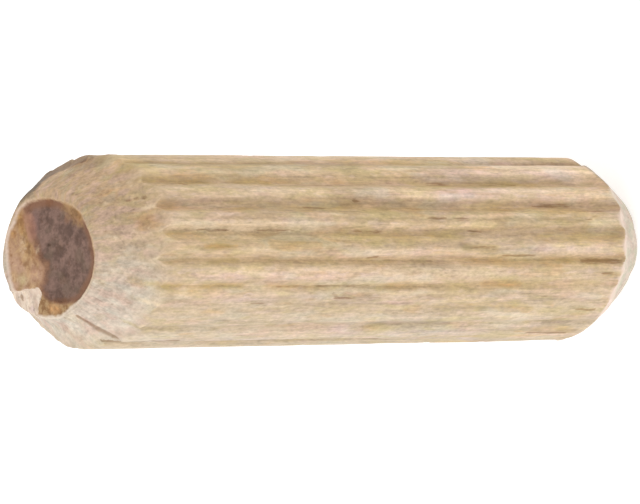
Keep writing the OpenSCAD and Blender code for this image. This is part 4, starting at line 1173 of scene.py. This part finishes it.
# --- marks
def marked(name, amount, streaky=True):
    m = w.value(name)
    if streaky:
        v = w.calc("ADD", m, w.calc("MULTIPLY", w.calc("SUBTRACT", hair, 0.5), 1.5))
        return w.calc("MULTIPLY", w.calc("MULTIPLY", w.smooth(v, 0.34, 0.74), w.smooth(m, 0.03, 0.40)), amount)
    v = w.calc("ADD", m, w.calc("MULTIPLY", w.calc("SUBTRACT", thin, 0.5), 0.7))
    v = w.calc("ADD", v, w.calc("MULTIPLY", w.calc("SUBTRACT", dash, 0.5), 0.7))
    return w.calc("MULTIPLY", w.calc("MULTIPLY", w.smooth(v, 0.12, 0.95), w.smooth(m, 0.0, 0.30)), amount)


def times_tint(colour, tint, f):
    return w.mix(colour, w.mix(colour, tint, 1.0, "MULTIPLY"), f)


colour = times_tint(colour, (0.86, 0.83, 0.64, 1), marked("m_olive", 0.80, False))
colour = times_tint(colour, (0.92, 0.79, 0.63, 1), marked("m_rust", 0.75, False))
colour = times_tint(colour, (0.86, 0.81, 0.88, 1), marked("m_mauve", 0.85, False))
colour = w.mix(colour, lin(224, 202, 170), marked("m_pale", 0.65, False))
colour = times_tint(colour, (0.54, 0.44, 0.34, 1), marked("m_dark", 0.85))
colour = times_tint(colour, (0.46, 0.37, 0.30, 1), w.calc("MULTIPLY", w.smooth(w.calc("ADD", w.value("m_spot"), w.calc("MULTIPLY", w.calc("SUBTRACT", grit, 0.5), 0.9)), 0.15, 0.90), 0.85))
# painted shade: the crack is painted darker over a wider band than its cut
colour = times_tint(colour, (0.60, 0.52, 0.45, 1), w.calc("MULTIPLY", w.smooth(w.calc("ADD", w.value("crack"), w.calc("MULTIPLY", w.calc("SUBTRACT", cfine, 0.5), 0.8)), 0.05, 0.75), 0.95))
# painted shade at the far outline of the upper cone: a broad brown shade, then the dark band
colour = times_tint(colour, (0.86, 0.80, 0.74, 1), w.calc("MULTIPLY", w.value("limb_shade_broad"), w.smooth(grit2, 0.34, 0.62, 1.0, 0.75)))
colour = w.mix(colour, w.mix(lin(98, 85, 74), lin(112, 95, 79), w.smooth(Z, 33.8, 33.4)), w.calc("MULTIPLY", w.value("limb_shade"), w.calc("MULTIPLY", w.smooth(grit2, 0.34, 0.62, 0.98, 0.78), w.smooth(Z, 33.75, 33.4, 1.0, 0.95))))
# painted shade along the lower end's outline
colour = w.mix(colour, lin(118, 112, 102), w.calc("MULTIPLY", w.value("far_end_shade"), w.smooth(grit2, 0.30, 0.60, 0.60, 0.95)))
w.put(bsdf.inputs["Base Color"], colour)

rough = w.calc("ADD", 0.60, w.calc("MULTIPLY", thin, 0.22))
rough = w.calc("SUBTRACT", rough, w.calc("MULTIPLY", g_in, 0.06))
w.put(bsdf.inputs["Roughness"], rough)
bsdf.inputs["Specular IOR Level"].default_value = 0.25

# --- fine relief
side_h = w.calc("ADD", w.calc("MULTIPLY", fibre_n, 0.55), w.calc("MULTIPLY", thin, 0.5))
side_h = w.calc("ADD", side_h, w.calc("ADD", w.calc("MULTIPLY", mottle, 0.7), w.calc("MULTIPLY", dash, 0.6)))
end_h = w.calc("SUBTRACT", w.calc("ADD", w.calc("MULTIPLY", grit, 0.8), w.calc("ADD", w.calc("MULTIPLY", cstreak, 0.6), w.calc("MULTIPLY", cfine, 0.7))), w.calc("MULTIPLY", pore_m, 0.5))
cap_h = w.calc("ADD", w.calc("MULTIPLY", grit, 1.0), w.calc("MULTIPLY", grit2, 0.9))
end_h = w.calc("ADD", w.calc("MULTIPLY", end_h, w.calc("SUBTRACT", 1.0, cap_m)), w.calc("MULTIPLY", cap_h, cap_m))
ends = w.calc("MAXIMUM", on_cone, on_low)
height = w.calc("ADD", w.calc("MULTIPLY", side_h, w.calc("SUBTRACT", 1.0, ends)), w.calc("MULTIPLY", end_h, ends))
relief = w.new("ShaderNodeBump")
relief.inputs["Strength"].default_value = 0.55
relief.inputs["Distance"].default_value = 0.00003
w.put(relief.inputs["Height"], height)
w.put(bsdf.inputs["Normal"], relief.outputs[0])

mesh.materials.append(mat)
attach(ob, "root")
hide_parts("dowel_pin")

# ---------------------------------------------------------------------------
# Floor, world and lights
# ---------------------------------------------------------------------------
fm = bpy.data.meshes.new("floor")
fm.from_pydata([(-3, -3, 0), (3, -3, 0), (3, 3, 0), (-3, 3, 0)], [], [(0, 1, 2, 3)])
floor = bpy.data.objects.new("floor", fm)
scene.collection.objects.link(floor)
fmat = bpy.data.materials.new("floor")
fmat.use_nodes = True
fb = fmat.node_tree.nodes["Principled BSDF"]
fb.inputs["Base Color"].default_value = (0.74, 0.74, 0.74, 1)
fb.inputs["Roughness"].default_value = 0.9
fb.inputs["Specular IOR Level"].default_value = 0.1
fb.inputs["Emission Color"].default_value = (1, 1, 1, 1)
fb.inputs["Emission Strength"].default_value = 0.46
fm.materials.append(fmat)

# a soft white dome, a little brighter and cooler on the -X side
world = bpy.data.worlds.new("world")
scene.world = world
world.use_nodes = True
sky = Nodes(world.node_tree)
bg = world.node_tree.nodes["Background"]
direction = sky.new("ShaderNodeSeparateXYZ")
sky.put(direction.inputs[0], sky.new("ShaderNodeTexCoord").outputs["Generated"])
across = sky.smooth(direction.outputs[0], 0.9, -0.9)
sky.put(bg.inputs["Color"], sky.mix((0.95, 0.935, 0.92, 1), (1.04, 1.05, 1.06, 1), across))
bg.inputs["Strength"].default_value = 1.0


def area_light(name, pos, target, size, energy, colour=(1, 1, 1)):
    data = bpy.data.lights.new(name, "AREA")
    data.shape = "DISK"
    data.size = size
    data.energy = energy
    data.color = colour
    o = bpy.data.objects.new(name, data)
    o.location = pos
    o.rotation_euler = (Vector(target) - Vector(pos)).to_track_quat("-Z", "Y").to_euler()
    scene.collection.objects.link(o)
    return o


area_light("key", (-0.60, -0.35, 0.60), (0, 0, 0.02), 0.45, 2.0)
scene.view_settings.view_transform = "Standard"
